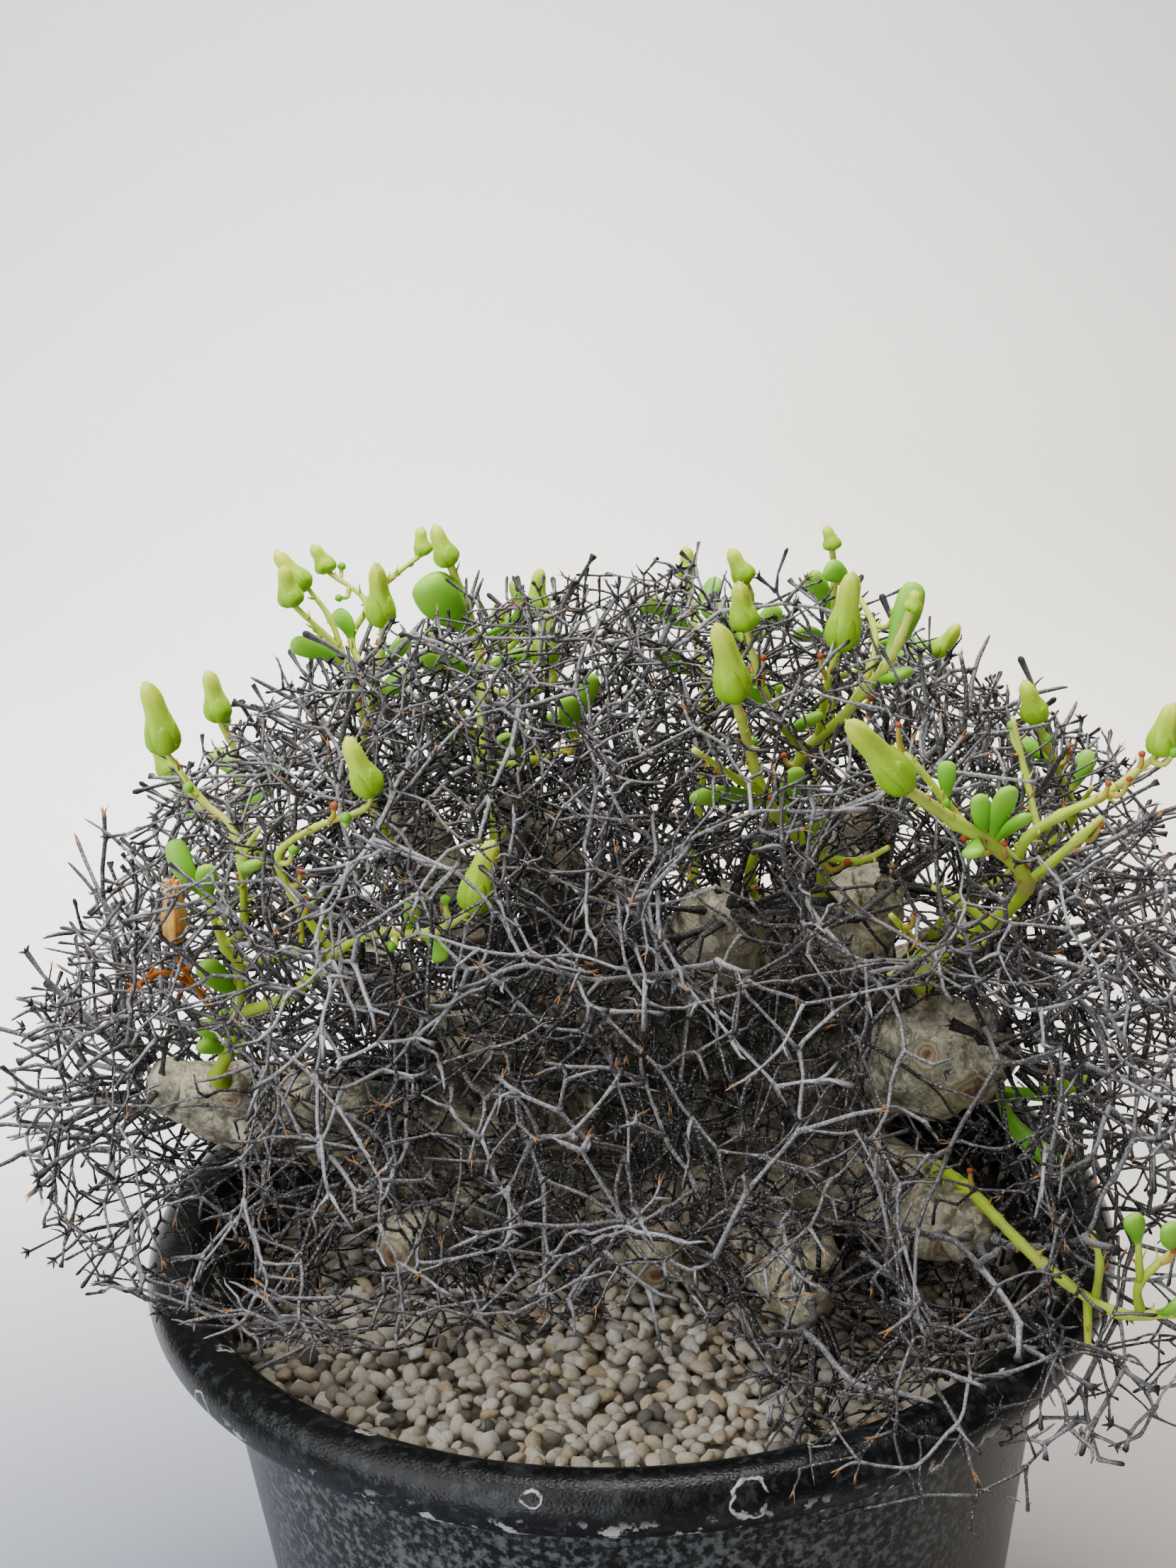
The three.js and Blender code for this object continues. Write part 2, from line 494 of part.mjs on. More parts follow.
// Gravel: a jittered honeycomb in which every cell is one larger-than-life pebble.
function makeGravel() {
  const random = seeded(11);
  const shell = new Shell();
  const { spacing, bottom, low, high, jitter } = GRAVEL;
  const columns = 2 * Math.ceil(80 / spacing) + 1;
  const rows = 2 * Math.ceil(80 / (spacing * 0.866)) + 1;
  const corner = new Map();
  const key = (x, y) => `${Math.round(x * 20)},${Math.round(y * 20)}`;
  const edges = new Map();
  const cornerAt = (x, y) => {
    const name = key(x, y);
    if (!corner.has(name)) {
      const move = () => (random() - 0.5) * jitter;
      corner.set(name, shell.point(vec([x + move(), y + move(), low + random() * 0.7])));
    }
    return corner.get(name);
  };
  for (let row = 0; row < rows; row += 1) {
    for (let column = 0; column < columns; column += 1) {
      const x = (column - (columns - 1) / 2 + (row % 2) / 2) * spacing;
      const y = (row - (rows - 1) / 2) * spacing * 0.866;
      const out = spacing / Math.sqrt(3);
      const ring = Array.from({ length: 6 }, (_, k) => {
        const angle = (k + 0.5) * 60 * degrees;
        return cornerAt(x + out * Math.cos(angle), y + out * Math.sin(angle));
      });
      const move = () => (random() - 0.5) * jitter;
      const top = shell.point(vec([x + move(), y + move(), high - random() * 0.8]));
      ring.forEach((a, k) => {
        const b = ring[(k + 1) % 6];
        shell.faces.push([a, b, top]);
        if (edges.has(`${b},${a}`)) edges.delete(`${b},${a}`);
        else edges.set(`${a},${b}`, [a, b]);
      });
    }
  }
  // The sheet's free edge is carried down to a flat underside.
  const under = new Map();
  const below = (a) => {
    if (!under.has(a)) {
      const p = shell.points[a];
      under.set(a, shell.point(vec([p.x, p.y, bottom - 5])));
    }
    return under.get(a);
  };
  const centre = shell.point(vec([0, 0, bottom - 5]));
  for (const [a, b] of edges.values()) {
    shell.faces.push([b, a, below(a)], [b, below(a), below(b)], [below(b), below(a), centre]);
  }
  const dish = turned([[0, bottom], [innerRadius(bottom) - GAP * 1.1, bottom],
    [innerRadius(high + 2) - GAP * 1.1, high + 2], [0, high + 2]]);
  return shell.solid().intersect(dish).subtract(trunkFoot(GAP));
}

// A smooth axis through a limb's points, with a ring about every LIMB.step.
function limbAxis(points) {
  const curve = new THREE.CatmullRomCurve3(points.map(vec), false, 'centripetal');
  return curve.getSpacedPoints(Math.max(2, Math.round(curve.getLength() / LIMB.step)));
}

function makeLimb({ path, r }, seed) {
  const random = seeded(400 + seed);
  const axis = limbAxis(path);
  const last = axis.length - 1;
  const spread = (amount) => 1 + (random() - 0.5) * 2 * amount;
  const swell = axis.map((_, i) => (i === last - 1 ? 1 + LIMB.swell : spread(LIMB.swell)));
  const knobs = axis.map(() => Array.from({ length: LIMB.sides }, () => spread(LIMB.knob)));
  return tube(axis, LIMB.sides, (i, k) => (
    mix(r[0], r[1], i / last) * (i === last ? LIMB.tip : swell[i] * knobs[i][k])));
}

const limbAxes = LIMBS.map(({ path }) => limbAxis(path));

function makeStub([inside, cap, r0, r1]) {
  return tube([vec(inside), vec(cap)], 7, (i) => [r0, r1][i]);
}

// The point nearest to p on the axes of the given stems.
function nearest(p, paths) {
  const line = new THREE.Line3();
  const points = paths.flatMap((path) => path.slice(1).map((q, i) => (
    line.set(path[i], q).closestPointToPoint(p, true, new THREE.Vector3()))));
  return points.sort((a, b) => a.distanceTo(p) - b.distanceTo(p))[0];
}

// A green spray: stems, buds and leaves in one body, flared where it stands on the stub's cap. Side
// stems and leaves are rooted in the middle of the stem that bears them.
function makeSpray({ stub, stems, buds, leaves }) {
  const axis = vec(stub[1]).sub(vec(stub[0])).normalize();
  const from = (distance) => vec(stub[1]).addScaledVector(axis, distance);
  const solids = [];
  const paths = [];
  stems.forEach(([radius, ...points], i) => {
    const path = points.map(vec);
    if (i === 0) path.unshift(from(GAP), from(2.4));
    else path[0] = nearest(path[0], paths);
    paths.push(path);
  });
  const pairs = buds.flatMap((bud) => paths.map((path) => (
    { bud, path, off: path.at(-1).distanceTo(vec(bud[0])) })));
  const flowers = new Map();
  for (const { bud, path } of pairs.sort((a, b) => a.off - b.off)) {
    const borne = [...flowers.values()].includes(bud);
    if (!borne && !flowers.has(path)) flowers.set(path, bud);
  }
  paths.forEach((path, i) => {
    const last = path.length - 1;
    const radius = stems[i][0] * 1.15;
    const slim = (k) => radius * mix(1, 0.72, k / last) * (i === 0 && k === 0 ? 1.6 : 1);
    if (!flowers.has(path)) {
      solids.push(tube(path, 3, slim));
      return;
    }
    const [top, width] = flowers.get(path);
    const tip = vec(top);
    const flower = BUD.profile.map(([t]) => path[last].clone().lerp(tip, t));
    const sides = [...path.map(() => 3), ...flower.map(() => BUD.sides)];
    solids.push(tube([...path, ...flower], sides, (k) => (
      k <= last ? slim(k) : (BUD.profile[k - last - 1][1] * width) / 2), tip));
  });
  for (const leaf of leaves) {
    const width = leaf.at(-1);
    const points = leaf.slice(0, -1).map(vec);
    points[0] = nearest(points[0], paths);
    const curve = new THREE.CatmullRomCurve3(points);
    const path = LEAF.profile.map(([t]) => curve.getPoint(t));
    const half = (i) => (LEAF.profile[i][1] * width) / 2;
    solids.push(tube(path, 4, (i) => [half(i), half(i) * LEAF.thick], null, vec(LEAF.side), points[0]));
  }
  return fuse(solids);
}

function makeDried() {
  const urn = DRIED.urn.map(vec);
  const profile = [[0, 0.25], [0.16, 0.8], [0.42, 1], [0.74, 0.66], [0.9, 0.7]];
  return fuse([
    tube(DRIED.stalk.map(vec), 4, () => DRIED.r),
    tube(DRIED.twig.map(vec), 4, () => DRIED.r * 0.85),
    tube(profile.map(([t]) => urn[0].clone().lerp(urn[1], t)), 8,
      (i, k) => (profile[i][1] * DRIED.width * (k % 2 ? 0.42 : 0.52)), urn[1]),
  ]);
}

// Everything that a twig must keep clear of, kept as capsules in a coarse grid of boxes.
class Space {
  constructor(cell) {
    this.cell = cell;
    this.boxes = new Map();
  }

  * keys(a, b, pad) {
    const low = a.clone().min(b).subScalar(pad).divideScalar(this.cell).floor();
    const high = a.clone().max(b).addScalar(pad).divideScalar(this.cell).floor();
    for (let x = low.x; x <= high.x; x += 1) {
      for (let y = low.y; y <= high.y; y += 1) {
        for (let z = low.z; z <= high.z; z += 1) yield (x + 64) * 16384 + (y + 64) * 128 + (z + 64);
      }
    }
  }

  add(capsule) {
    for (const key of this.keys(capsule.a, capsule.b, capsule.r)) {
      if (!this.boxes.has(key)) this.boxes.set(key, []);
      this.boxes.get(key).push(capsule);
    }
  }

  near(a, b, pad) {
    const found = new Set();
    for (const key of this.keys(a, b, pad)) for (const c of this.boxes.get(key) ?? []) found.add(c);
    return found;
  }
}

// Least distance between two straight pieces p-q and s-t.
function distanceBetween(p, q, s, t) {
  const [u, v, w] = [q.clone().sub(p), t.clone().sub(s), p.clone().sub(s)];
  const [a, b, c, d, e] = [u.dot(u), u.dot(v), v.dot(v), u.dot(w), v.dot(w)];
  const clamp = (x) => Math.min(1, Math.max(0, x));
  const flat = a * c - b * b;
  let i = flat > 1e-9 ? clamp((b * e - c * d) / flat) : 0;
  let j = c > 1e-9 ? (b * i + e) / c : 0;
  if (j < 0 || j > 1) {
    j = clamp(j);
    i = a > 1e-9 ? clamp((b * j - d) / a) : 0;
  }
  return p.clone().addScaledVector(u, i).distanceTo(s.clone().addScaledVector(v, j));
}

const space = new Space(10);
for (const [i, axis] of limbAxes.entries()) {
  const { r } = LIMBS[i];
  for (let k = 1; k < axis.length; k += 1) {
    const radius = mix(r[0], r[1], (k - 0.5) / (axis.length - 1)) * (1 + LIMB.swell + LIMB.knob) + 0.3;
    space.add({ a: axis[k - 1], b: axis[k], r: radius, limb: i });
  }
}
for (const { stub, stems, buds, leaves } of Object.values(SPRAYS)) {
  space.add({ a: vec(stub[0]), b: vec(stub[1]), r: stub[2] });
  stems.forEach(([radius, ...points], i) => {
    const path = points.map(vec);
    if (i === 0) path.unshift(vec(stub[1]));
    for (let k = 1; k < path.length; k += 1) space.add({ a: path[k - 1], b: path[k], r: radius + 0.1 });
  });
  for (const [tip, width] of buds) {
    const off = (end) => end.distanceTo(vec(tip));
    const ends = stems.map((stem) => vec(stem.at(-1))).sort((a, b) => off(a) - off(b));
    space.add({ a: ends[0], b: vec(tip), r: width / 2 + 0.2 });
  }
  for (const leaf of leaves) {
    const path = leaf.slice(0, -1).map(vec);
    const r = leaf.at(-1) / 2 + 0.2;
    for (let k = 1; k < path.length; k += 1) space.add({ a: path[k - 1], b: path[k], r });
  }
}
for (const [points, radius] of [[DRIED.stalk, 0.8], [DRIED.twig, 0.8], [DRIED.urn, 3]]) {
  const path = points.map(vec);
  for (let k = 1; k < path.length; k += 1) space.add({ a: path[k - 1], b: path[k], r: radius });
}

// Where a twig may be: inside the dome, over the gravel, off the rim and out of the open front.
function allowed(p, r, scale = 1) {
  const out = Math.hypot(p.x, p.y);
  const across = Math.hypot((p.x - DOME.x) / DOME.rx, (p.y - DOME.y) / DOME.ry);
  const up = (p.z - DOME.z) / DOME.rz;
  const overRim = p.x > OVER_RIM.x && p.y < OVER_RIM.y;
  const { share, over, power } = DOME.tuck;
  const tucked = p.z < DOME.waist && !overRim ? 1 + share * ((DOME.waist - p.z) / over) ** power : 1;
  if (Math.hypot(across * tucked, Math.max(0, up)) > scale) return false;
  const offRoll = Math.hypot(out - POT.rimRadius, p.z - POT.rimZ);
  if (offRoll < POT.rollRadius + r + RIM_CLEAR.roll) return false;
  if (out < POT.rimRadius && p.z < DOME.floor + r) return false;
  if (out > RIM_CLEAR.wall && out < POT.rimRadius && p.z < POT.rimZ) return false;
  if (out >= POT.rimRadius && p.z < (overRim ? OVER_RIM.hem : DOME.hem)) return false;
  const hem = OPEN_FRONT.z + (OPEN_FRONT.y - p.y) * OPEN_FRONT.rise;
  return !(p.x < OPEN_FRONT.x && p.y < OPEN_FRONT.y && p.z < hem);
}

function free(a, b, r, from, limb) {
  for (let k = 1; k <= 6; k += 1) if (!allowed(a.clone().lerp(b, k / 6), r)) return false;
  for (const c of space.near(a, b, r + TWIG.clear + 0.1)) {
    if (c.fork === from || (limb !== undefined && c.limb === limb)) continue;
    if (c.end && c.end === from) continue;
    if (distanceBetween(a, b, c.a, c.b) < r + c.r + TWIG.clear) return false;
  }
  return true;
}

// Grows every bunch at once, always from the fork with the most room, until the count is spent.
function growNets() {
  const random = seeded(2027);
  const nets = [];
  const open = [];
  const crowd = (p, radius) => {
    let count = 0;
    for (const c of space.near(p, p, radius)) if (c.fork && c.b.distanceTo(p) < radius) count += 1;
    return count;
  };
  const reach = (depth, [first, last]) => mix(first, last, Math.min(1, depth / TWIG.deep));
  const turn = (axis, angle, spin) => {
    const side = Math.abs(axis.z) < 0.9 ? new THREE.Vector3(0, 0, 1) : new THREE.Vector3(1, 0, 0);
    side.cross(axis).normalize().applyAxisAngle(axis, spin);
    return axis.clone().applyAxisAngle(side, angle);
  };
  const grow = (from, direction, r, depth, limb) => {
    const length = reach(depth, TWIG.length) * mix(limb === undefined ? 0.75 : 0.5, 1.25, random());
    const p = from.p.clone().addScaledVector(direction, length);
    if (!free(from.p, p, r, from, limb)) return null;
    return { p, direction, r, depth, parent: from, kids: [], inner: allowed(p, r, TWIG.inner) };
  };
  const keep = (fork) => {
    fork.parent.kids.push(fork);
    space.add({ a: fork.parent.p, b: fork.p, r: fork.r, fork: fork.parent, end: fork });
    if (fork.inner) open.push(fork);
  };
  LIMBS.forEach(({ bunch, r }, limb) => {
    if (!bunch) return;
    const axis = limbAxes[limb];
    const tip = axis.at(-1);
    const ahead = tip.clone().sub(axis.at(-2)).normalize();
    const roots = [];
    const count = TWIG.stalks;
    for (let i = 0; i < count; i += 1) {
      const spin = ((i + random() * 0.3) * 2 * Math.PI) / count;
      const out = turn(ahead, Math.PI / 2, spin);
      const start = tip.clone().addScaledVector(ahead, GAP + CROWN.lift);
      start.addScaledVector(out, CROWN.ring);
      for (let t = 0; t < TWIG.leanTries; t += 1) {
        const lean = mix(...TWIG.lean, random()) * degrees;
        const aside = turn(ahead, Math.PI / 2, spin + (random() - 0.5));
        const direction = ahead.clone().multiplyScalar(Math.cos(lean));
        direction.addScaledVector(aside, Math.sin(lean)).normalize();
        const root = { p: start, direction, r: TWIG.radius[0], depth: 0, kids: [], root: true };
        const first = grow(root, direction, TWIG.radius[0], 0, limb);
        if (!first) continue;
        keep(first);
        roots.push(root);
        break;
      }
    }
    nets.push({ bunch, tip, ahead, cap: r[1] * LIMB.tip, roots });
  });
  let placed = open.length;
  while (open.length && placed < TWIG.total) {
    let best = null;
    for (let i = 0; i < 10; i += 1) {
      const pick = Math.floor(random() * open.length);
      const room = crowd(open[pick].p, TWIG.view) + open[pick].depth;
      if (!best || room < best.room) best = { pick, room };
    }
    const [fork] = open.splice(best.pick, 1);
    const depth = fork.depth + 1;
    const r = reach(depth, TWIG.radius);
    let chosen = null;
    for (let t = 0; t < TWIG.tries; t += 1) {
      const spin = random() * 2 * Math.PI;
      const pair = [0, Math.PI].map((half) => (
        turn(fork.direction, mix(...TWIG.fork, random()) * degrees, spin + half)));
      const grown = pair.map((direction) => grow(fork, direction, r, depth)).filter(Boolean);
      if (!grown.length || (grown.length < 2 && random() > TWIG.bends)) continue;
      const company = grown.reduce((sum, g) => sum + crowd(g.p, TWIG.reach), 0);
      const score = grown.length * 3 - company / grown.length;
      if (!chosen || score > chosen.score) chosen = { grown, score };
    }
    if (!chosen) continue;
    chosen.grown.forEach(keep);
    placed += chosen.grown.length;
  }
  return nets;
}

// The surface of one stalk and all its forks. Each fork has one point above and one in each crotch,
// and every twig joins the three points that face it at both ends.
function stalkSolid(root) {
  const shell = new Shell();
  const triad = (p, direction, r) => {
    const { across, other } = frames([p, p.clone().add(direction)])[0];
    return shell.ring([0, 1, 2].map((k) => {
      const angle = (k * 2 * Math.PI) / 3;
      const q = p.clone().addScaledVector(across, r * Math.cos(angle));
      return q.addScaledVector(other, r * Math.sin(angle));
    }));
  };
  // Both rings run counter-clockwise about the twig's own direction; b is turned to fit a best.
  const join = (a, b) => {
    const gap = (turnBy) => a.reduce((sum, p, i) => (
      sum + shell.points[p].distanceToSquared(shell.points[b[(i + turnBy) % 3]])), 0);
    const turnBy = [0, 1, 2].sort((i, j) => gap(i) - gap(j))[0];
    shell.band(a, b.map((_, i) => b[(i + turnBy) % 3]));
  };
  const walk = (fork, ring) => {
    if (!fork.kids.length) {
      shell.apex(ring, fork.p);
      return;
    }
    const r = fork.kids[0].r;
    if (fork.kids.length === 1) {
      const bend = triad(fork.p, fork.direction.clone().add(fork.kids[0].direction).normalize(), r);
      join(ring, bend);
      walk(fork.kids[0], bend);
      return;
    }
    const ways = [fork.direction.clone().negate(), fork.kids[0].direction, fork.kids[1].direction];
    const up = ways.reduce((sum, w, i) => sum.add(w.clone().cross(ways[(i + 1) % 3])), new THREE.Vector3());
    up.normalize();
    const top = shell.point(fork.p.clone().addScaledVector(up, r));
    const crotch = ways.map((w, i) => {
      const next = ways[(i + 1) % 3];
      const half = w.angleTo(next) / 2;
      const middle = w.clone().add(next).normalize();
      const away = Math.min(2.3, 0.87 / Math.sin(half)) * r;
      return shell.point(fork.p.clone().addScaledVector(middle, away).addScaledVector(up, -0.5 * r));
    });
    shell.faces.push([crotch[2], crotch[1], crotch[0]]);
    const opening = (i) => [top, crotch[(i + 2) % 3], crotch[i]];
    join(ring, [...opening(0)].reverse());
    walk(fork.kids[0], opening(1));
    walk(fork.kids[1], opening(2));
  };
  const start = triad(root.p, root.direction, root.r);
  shell.cap(start, true);
  walk(root.kids[0], start);
  return shell.solid();
}

place('pot', makePot(), COLOURS.pot);
place('soil', makeSoil(), COLOURS.soil);
place('gravel', makeGravel(), COLOURS.gravel);
place('caudex', fuse([
  trunkFoot(0),
  ...LIMBS.map(makeLimb),
  ...Object.values(SPRAYS).map(({ stub }) => makeStub(stub)),
]), COLOURS.caudex);
for (const { bunch, tip, ahead, cap, roots } of growNets()) {
  const path = [GAP, CROWN.height].map((d) => tip.clone().addScaledVector(ahead, d));
  const crown = tube(path, CROWN.sides, (i) => cap * [CROWN.foot, CROWN.top][i] + CROWN.collar);
  place(bunch, fuse([crown, ...roots.map(stalkSolid)]), COLOURS.twig);
}
for (const [name, spray] of Object.entries(SPRAYS)) {
  place(name, makeSpray(spray), name.startsWith('leaves') ? COLOURS.leaf : COLOURS.green);
}
place('dried_flower', makeDried(), COLOURS.dried);

export default group;
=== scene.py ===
# %% [markdown]
# A potted Tylecodon reticulatus: a swollen, many-headed trunk in a black nursery pot, under a low
# dome of dry flower stalks that fork again and again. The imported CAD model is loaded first. It is
# the ruler for everything below: each piece made here stands where a CAD node stands, and hides it.

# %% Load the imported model
import math

import bmesh
import bpy
import numpy as np
from mathutils import Matrix, Vector, noise


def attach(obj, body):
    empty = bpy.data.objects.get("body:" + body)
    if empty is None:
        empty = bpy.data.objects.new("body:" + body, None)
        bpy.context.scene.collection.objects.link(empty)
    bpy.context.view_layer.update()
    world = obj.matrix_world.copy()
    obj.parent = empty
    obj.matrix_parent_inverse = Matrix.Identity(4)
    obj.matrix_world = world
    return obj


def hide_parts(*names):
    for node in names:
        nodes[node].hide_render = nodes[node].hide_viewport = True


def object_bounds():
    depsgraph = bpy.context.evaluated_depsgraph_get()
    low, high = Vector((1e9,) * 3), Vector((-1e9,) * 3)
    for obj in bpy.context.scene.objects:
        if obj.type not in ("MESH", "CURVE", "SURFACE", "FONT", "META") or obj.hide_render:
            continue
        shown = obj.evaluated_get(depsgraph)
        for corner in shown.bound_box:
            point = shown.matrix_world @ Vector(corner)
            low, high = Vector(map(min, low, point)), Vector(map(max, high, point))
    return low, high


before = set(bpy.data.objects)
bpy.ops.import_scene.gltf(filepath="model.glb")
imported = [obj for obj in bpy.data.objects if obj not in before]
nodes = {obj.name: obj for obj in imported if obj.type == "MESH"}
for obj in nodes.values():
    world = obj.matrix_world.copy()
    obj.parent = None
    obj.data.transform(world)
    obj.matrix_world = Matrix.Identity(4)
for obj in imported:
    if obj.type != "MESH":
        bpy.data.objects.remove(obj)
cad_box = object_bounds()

MM = 0.001


def show(name, data):
    thing = bpy.data.objects.new(name, data)
    bpy.context.scene.collection.objects.link(thing)
    return thing


print("CAD nodes:", len(nodes), "box:", [round(c, 4) for corner in cad_box for c in corner])

# %% [markdown]
# The camera stands a little above the plant and looks down by 18 degrees. It could be aimed with a
# Track To constraint, but a written matrix keeps the slight tilt that the picture has. A lens of
# 48.9 mm on a 36 mm sensor, whose long side is the picture's height, gives the same perspective.

# %% Camera
EYE = Vector((-3.49, -338.18, 334.25)) * MM
PITCH, ROLL, LENS = math.radians(18.30), math.radians(-2.736), 48.88

ahead = Vector((0, math.cos(PITCH), -math.sin(PITCH)))
level_up = Vector((0, math.sin(PITCH), math.cos(PITCH)))
right = math.cos(ROLL) * Vector((1, 0, 0)) + math.sin(ROLL) * level_up
up = -math.sin(ROLL) * Vector((1, 0, 0)) + math.cos(ROLL) * level_up
lens = bpy.data.cameras.new("camera")
lens.lens, lens.sensor_width = LENS, 36
camera = show("camera", lens)
camera.matrix_world = Matrix.Translation(EYE) @ Matrix((right, up, -ahead)).transposed().to_4x4()
bpy.context.scene.camera = camera
print("camera at", [round(v / MM) for v in EYE], "mm")

# %% [markdown]
# Natural pieces are made of many small closed shapes: tubes, pebbles, leaves. Each could be an
# object with modifiers, but thousands of objects are slow. So shapes are gathered as plain arrays
# in millimetres and turned into one mesh per piece. Each shape can carry painted values, such as
# how dry a tip is, which the material reads back as attributes.

# %% Gather shapes into one piece
class Clay:
    def __init__(self):
        self.points, self.faces, self.finish, self.paint, self.count = [], [], [], {}, 0

    def add(self, points, faces, finish=0, **paint):
        points = np.asarray(points, float).reshape(-1, 3)
        for name in set(self.paint) | set(paint):
            if name not in self.paint:
                self.paint[name] = [np.zeros(self.count)]
            value = np.broadcast_to(np.asarray(paint.get(name, 0.0), float), len(points))
            self.paint[name].append(value)
        self.points.append(points)
        self.faces += [[self.count + i for i in face] for face in faces]
        self.finish += [finish] * len(faces)
        self.count += len(points)

    def piece(self, name, materials, slot, replaced=()):
        mesh = bpy.data.meshes.new(name)
        mesh.from_pydata(np.concatenate(self.points) * MM, [], self.faces)
        mesh.polygons.foreach_set("use_smooth", [True] * len(mesh.polygons))
        for material in materials:
            mesh.materials.append(material)
        mesh.polygons.foreach_set("material_index", self.finish)
        for key, values in self.paint.items():
            paint_on(mesh, key, np.concatenate(values))
        return settle(name, mesh, replaced)


triangles = {}


def paint_on(mesh, name, values):
    layer = mesh.attributes.new(name, "FLOAT", "POINT")
    layer.data.foreach_set("value", values.astype(np.float32))


def settle(name, mesh, replaced=()):
    piece = show(name, mesh)
    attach(piece, "root")
    if replaced:
        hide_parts(*replaced)
    mesh.update()
    triangles[piece.name] = sum(len(face.vertices) - 2 for face in mesh.polygons)
    return piece

# %% [markdown]
# Stems, stalks and leaves all start as a line with a thickness. A Bezier curve with a bevel would
# do for one of them; here a ring of points is carried along the line instead, turning as little as
# it can, so that the result is a closed mesh at once and each ring can be lobed or flattened.

# %% Tubes along a line
def unit(v):
    return v / max(np.linalg.norm(v), 1e-9)


def spun(axis, side, angle):
    return side * math.cos(angle) + np.cross(axis, side) * math.sin(angle)


def corners_of(mesh):
    return np.array([v.co for v in mesh.vertices]) / MM


def bands(rows, sides):
    return [[i * sides + k, i * sides + (k + 1) % sides, (i + 1) * sides + (k + 1) % sides,
             (i + 1) * sides + k] for i in range(rows) for k in range(sides)]


def rings_along(path, side=(0.31, 0.83, 0.47)):
    path = np.asarray(path, float)
    ahead = np.gradient(path, axis=0)
    across, sides = np.asarray(side, float), []
    for way in ahead:
        way = unit(way)
        across = unit(across - way * (across @ way))
        sides.append((across, np.cross(way, across)))
    return path, np.array(sides)


def tube(path, radius, sides, flat=1.0, lobes=None, side=(0.31, 0.83, 0.47)):
    path, frames = rings_along(path, side)
    angle = np.arange(sides) * 2 * math.pi / sides
    reach = np.broadcast_to(np.asarray(radius, float), len(path))[:, None]
    if lobes is not None:
        reach = reach * lobes(np.linspace(0, 1, len(path))[:, None], angle[None])
    else:
        reach = np.repeat(reach, sides, 1)
    points = (path[:, None] + (reach * np.cos(angle))[..., None] * frames[:, None, 0]
              + (reach * flat * np.sin(angle))[..., None] * frames[:, None, 1])
    faces = bands(len(path) - 1, sides)
    faces.append(list(range(sides))[::-1])
    faces.append([(len(path) - 1) * sides + k for k in range(sides)])
    return points.reshape(-1, 3), faces


def smooth_line(points, step):
    points = [np.asarray(p, float) for p in points]
    if len(points) == 2:
        count = max(2, int(np.linalg.norm(points[1] - points[0]) / step) + 1)
        return np.linspace(points[0], points[1], count)
    padded = [2 * points[0] - points[1], *points, 2 * points[-1] - points[-2]]
    line = []
    for a, b, c, d in zip(padded, padded[1:], padded[2:], padded[3:]):
        count = max(2, int(np.linalg.norm(c - b) / step) + 1)
        for t in np.arange(count) / count:
            line.append(0.5 * (2 * b + (c - a) * t + (2 * a - 5 * b + 4 * c - d) * t * t
                               + (3 * b - a - 3 * c + d) * t ** 3))
    return np.array([*line, points[-1]])


def profile(stops, t):
    return np.interp(t, *np.array(stops, float).T)

# %% [markdown]
# Materials are built from nodes. One small function adds a node, sets it up and links it, and a few
# more name the steps that come again: a ramp, a mix, a noise, a bump. So each material below reads
# as a list of what happens to the surface. Colours are written as the sRGB hex values that a
# painter would pick, and turned to linear light here. Other values pass through unchanged.

# %% Colours and nodes
def colour(value):
    if not isinstance(value, str):
        return value
    channels = [int(value[i:i + 2], 16) / 255 for i in (1, 3, 5)]
    return [c / 12.92 if c <= 0.04045 else ((c + 0.055) / 1.055) ** 2.4 for c in channels] + [1.0]


def add(tree, kind, settings=None, inputs=None, stops=None):
    node = tree.nodes.new("ShaderNode" + kind)
    for key, value in (settings or {}).items():
        setattr(node, key, value)
    for key, value in (inputs or {}).items():
        if isinstance(value, bpy.types.NodeSocket):
            tree.links.new(value, node.inputs[key])
        else:
            node.inputs[key].default_value = colour(value)
    for i, (position, value) in enumerate(stops or []):
        dots = node.color_ramp.elements
        dot = dots[i] if i < len(dots) else dots.new(position)
        dot.position, dot.color = position, colour(value)
    return node


def begin(name, roughness, ior, **constants):
    material = bpy.data.materials.new(name)
    material.use_nodes = True
    tree = material.node_tree
    tree.nodes.clear()
    shader = add(tree, "BsdfPrincipled", inputs={"Roughness": roughness, "IOR": ior, **constants})
    add(tree, "OutputMaterial", inputs={"Surface": shader.outputs["BSDF"]})
    place = add(tree, "TexCoord").outputs["Object"]
    return material, tree, shader, place


def wear(tree, shader, skin, normal=None, rough=None):
    for name, socket in (("Base Color", skin), ("Normal", normal), ("Roughness", rough)):
        if socket is not None:
            tree.links.new(socket, shader.inputs[name])


def painted(tree, name):
    return add(tree, "Attribute", {"attribute_name": name}).outputs["Fac"]


def maths(tree, operation, a, b=0.0, c=0.0, clamp=False):
    return add(tree, "Math", {"operation": operation, "use_clamp": clamp},
               {0: a, 1: b, 2: c}).outputs["Value"]


def between(tree, value, start, end, low=0.0, high=1.0):
    return add(tree, "MapRange", inputs={"Value": value, "From Min": start, "From Max": end,
                                         "To Min": low, "To Max": high}).outputs["Result"]


def ramp(tree, value, stops):
    return add(tree, "ValToRGB", inputs={"Fac": value}, stops=stops).outputs["Color"]


def mix(tree, share, first, second, blend="MIX"):
    return add(tree, "Mix", {"data_type": "RGBA", "blend_type": blend},
               {0: share, 6: first, 7: second}).outputs[2]


def per_mm(size):
    return 1 / (size * MM)


def cloud(tree, place, size, detail, output="Fac", **more):
    return add(tree, "TexNoise", inputs={"Vector": place, "Scale": per_mm(size), "Detail": detail,
                                         **more}).outputs[output]


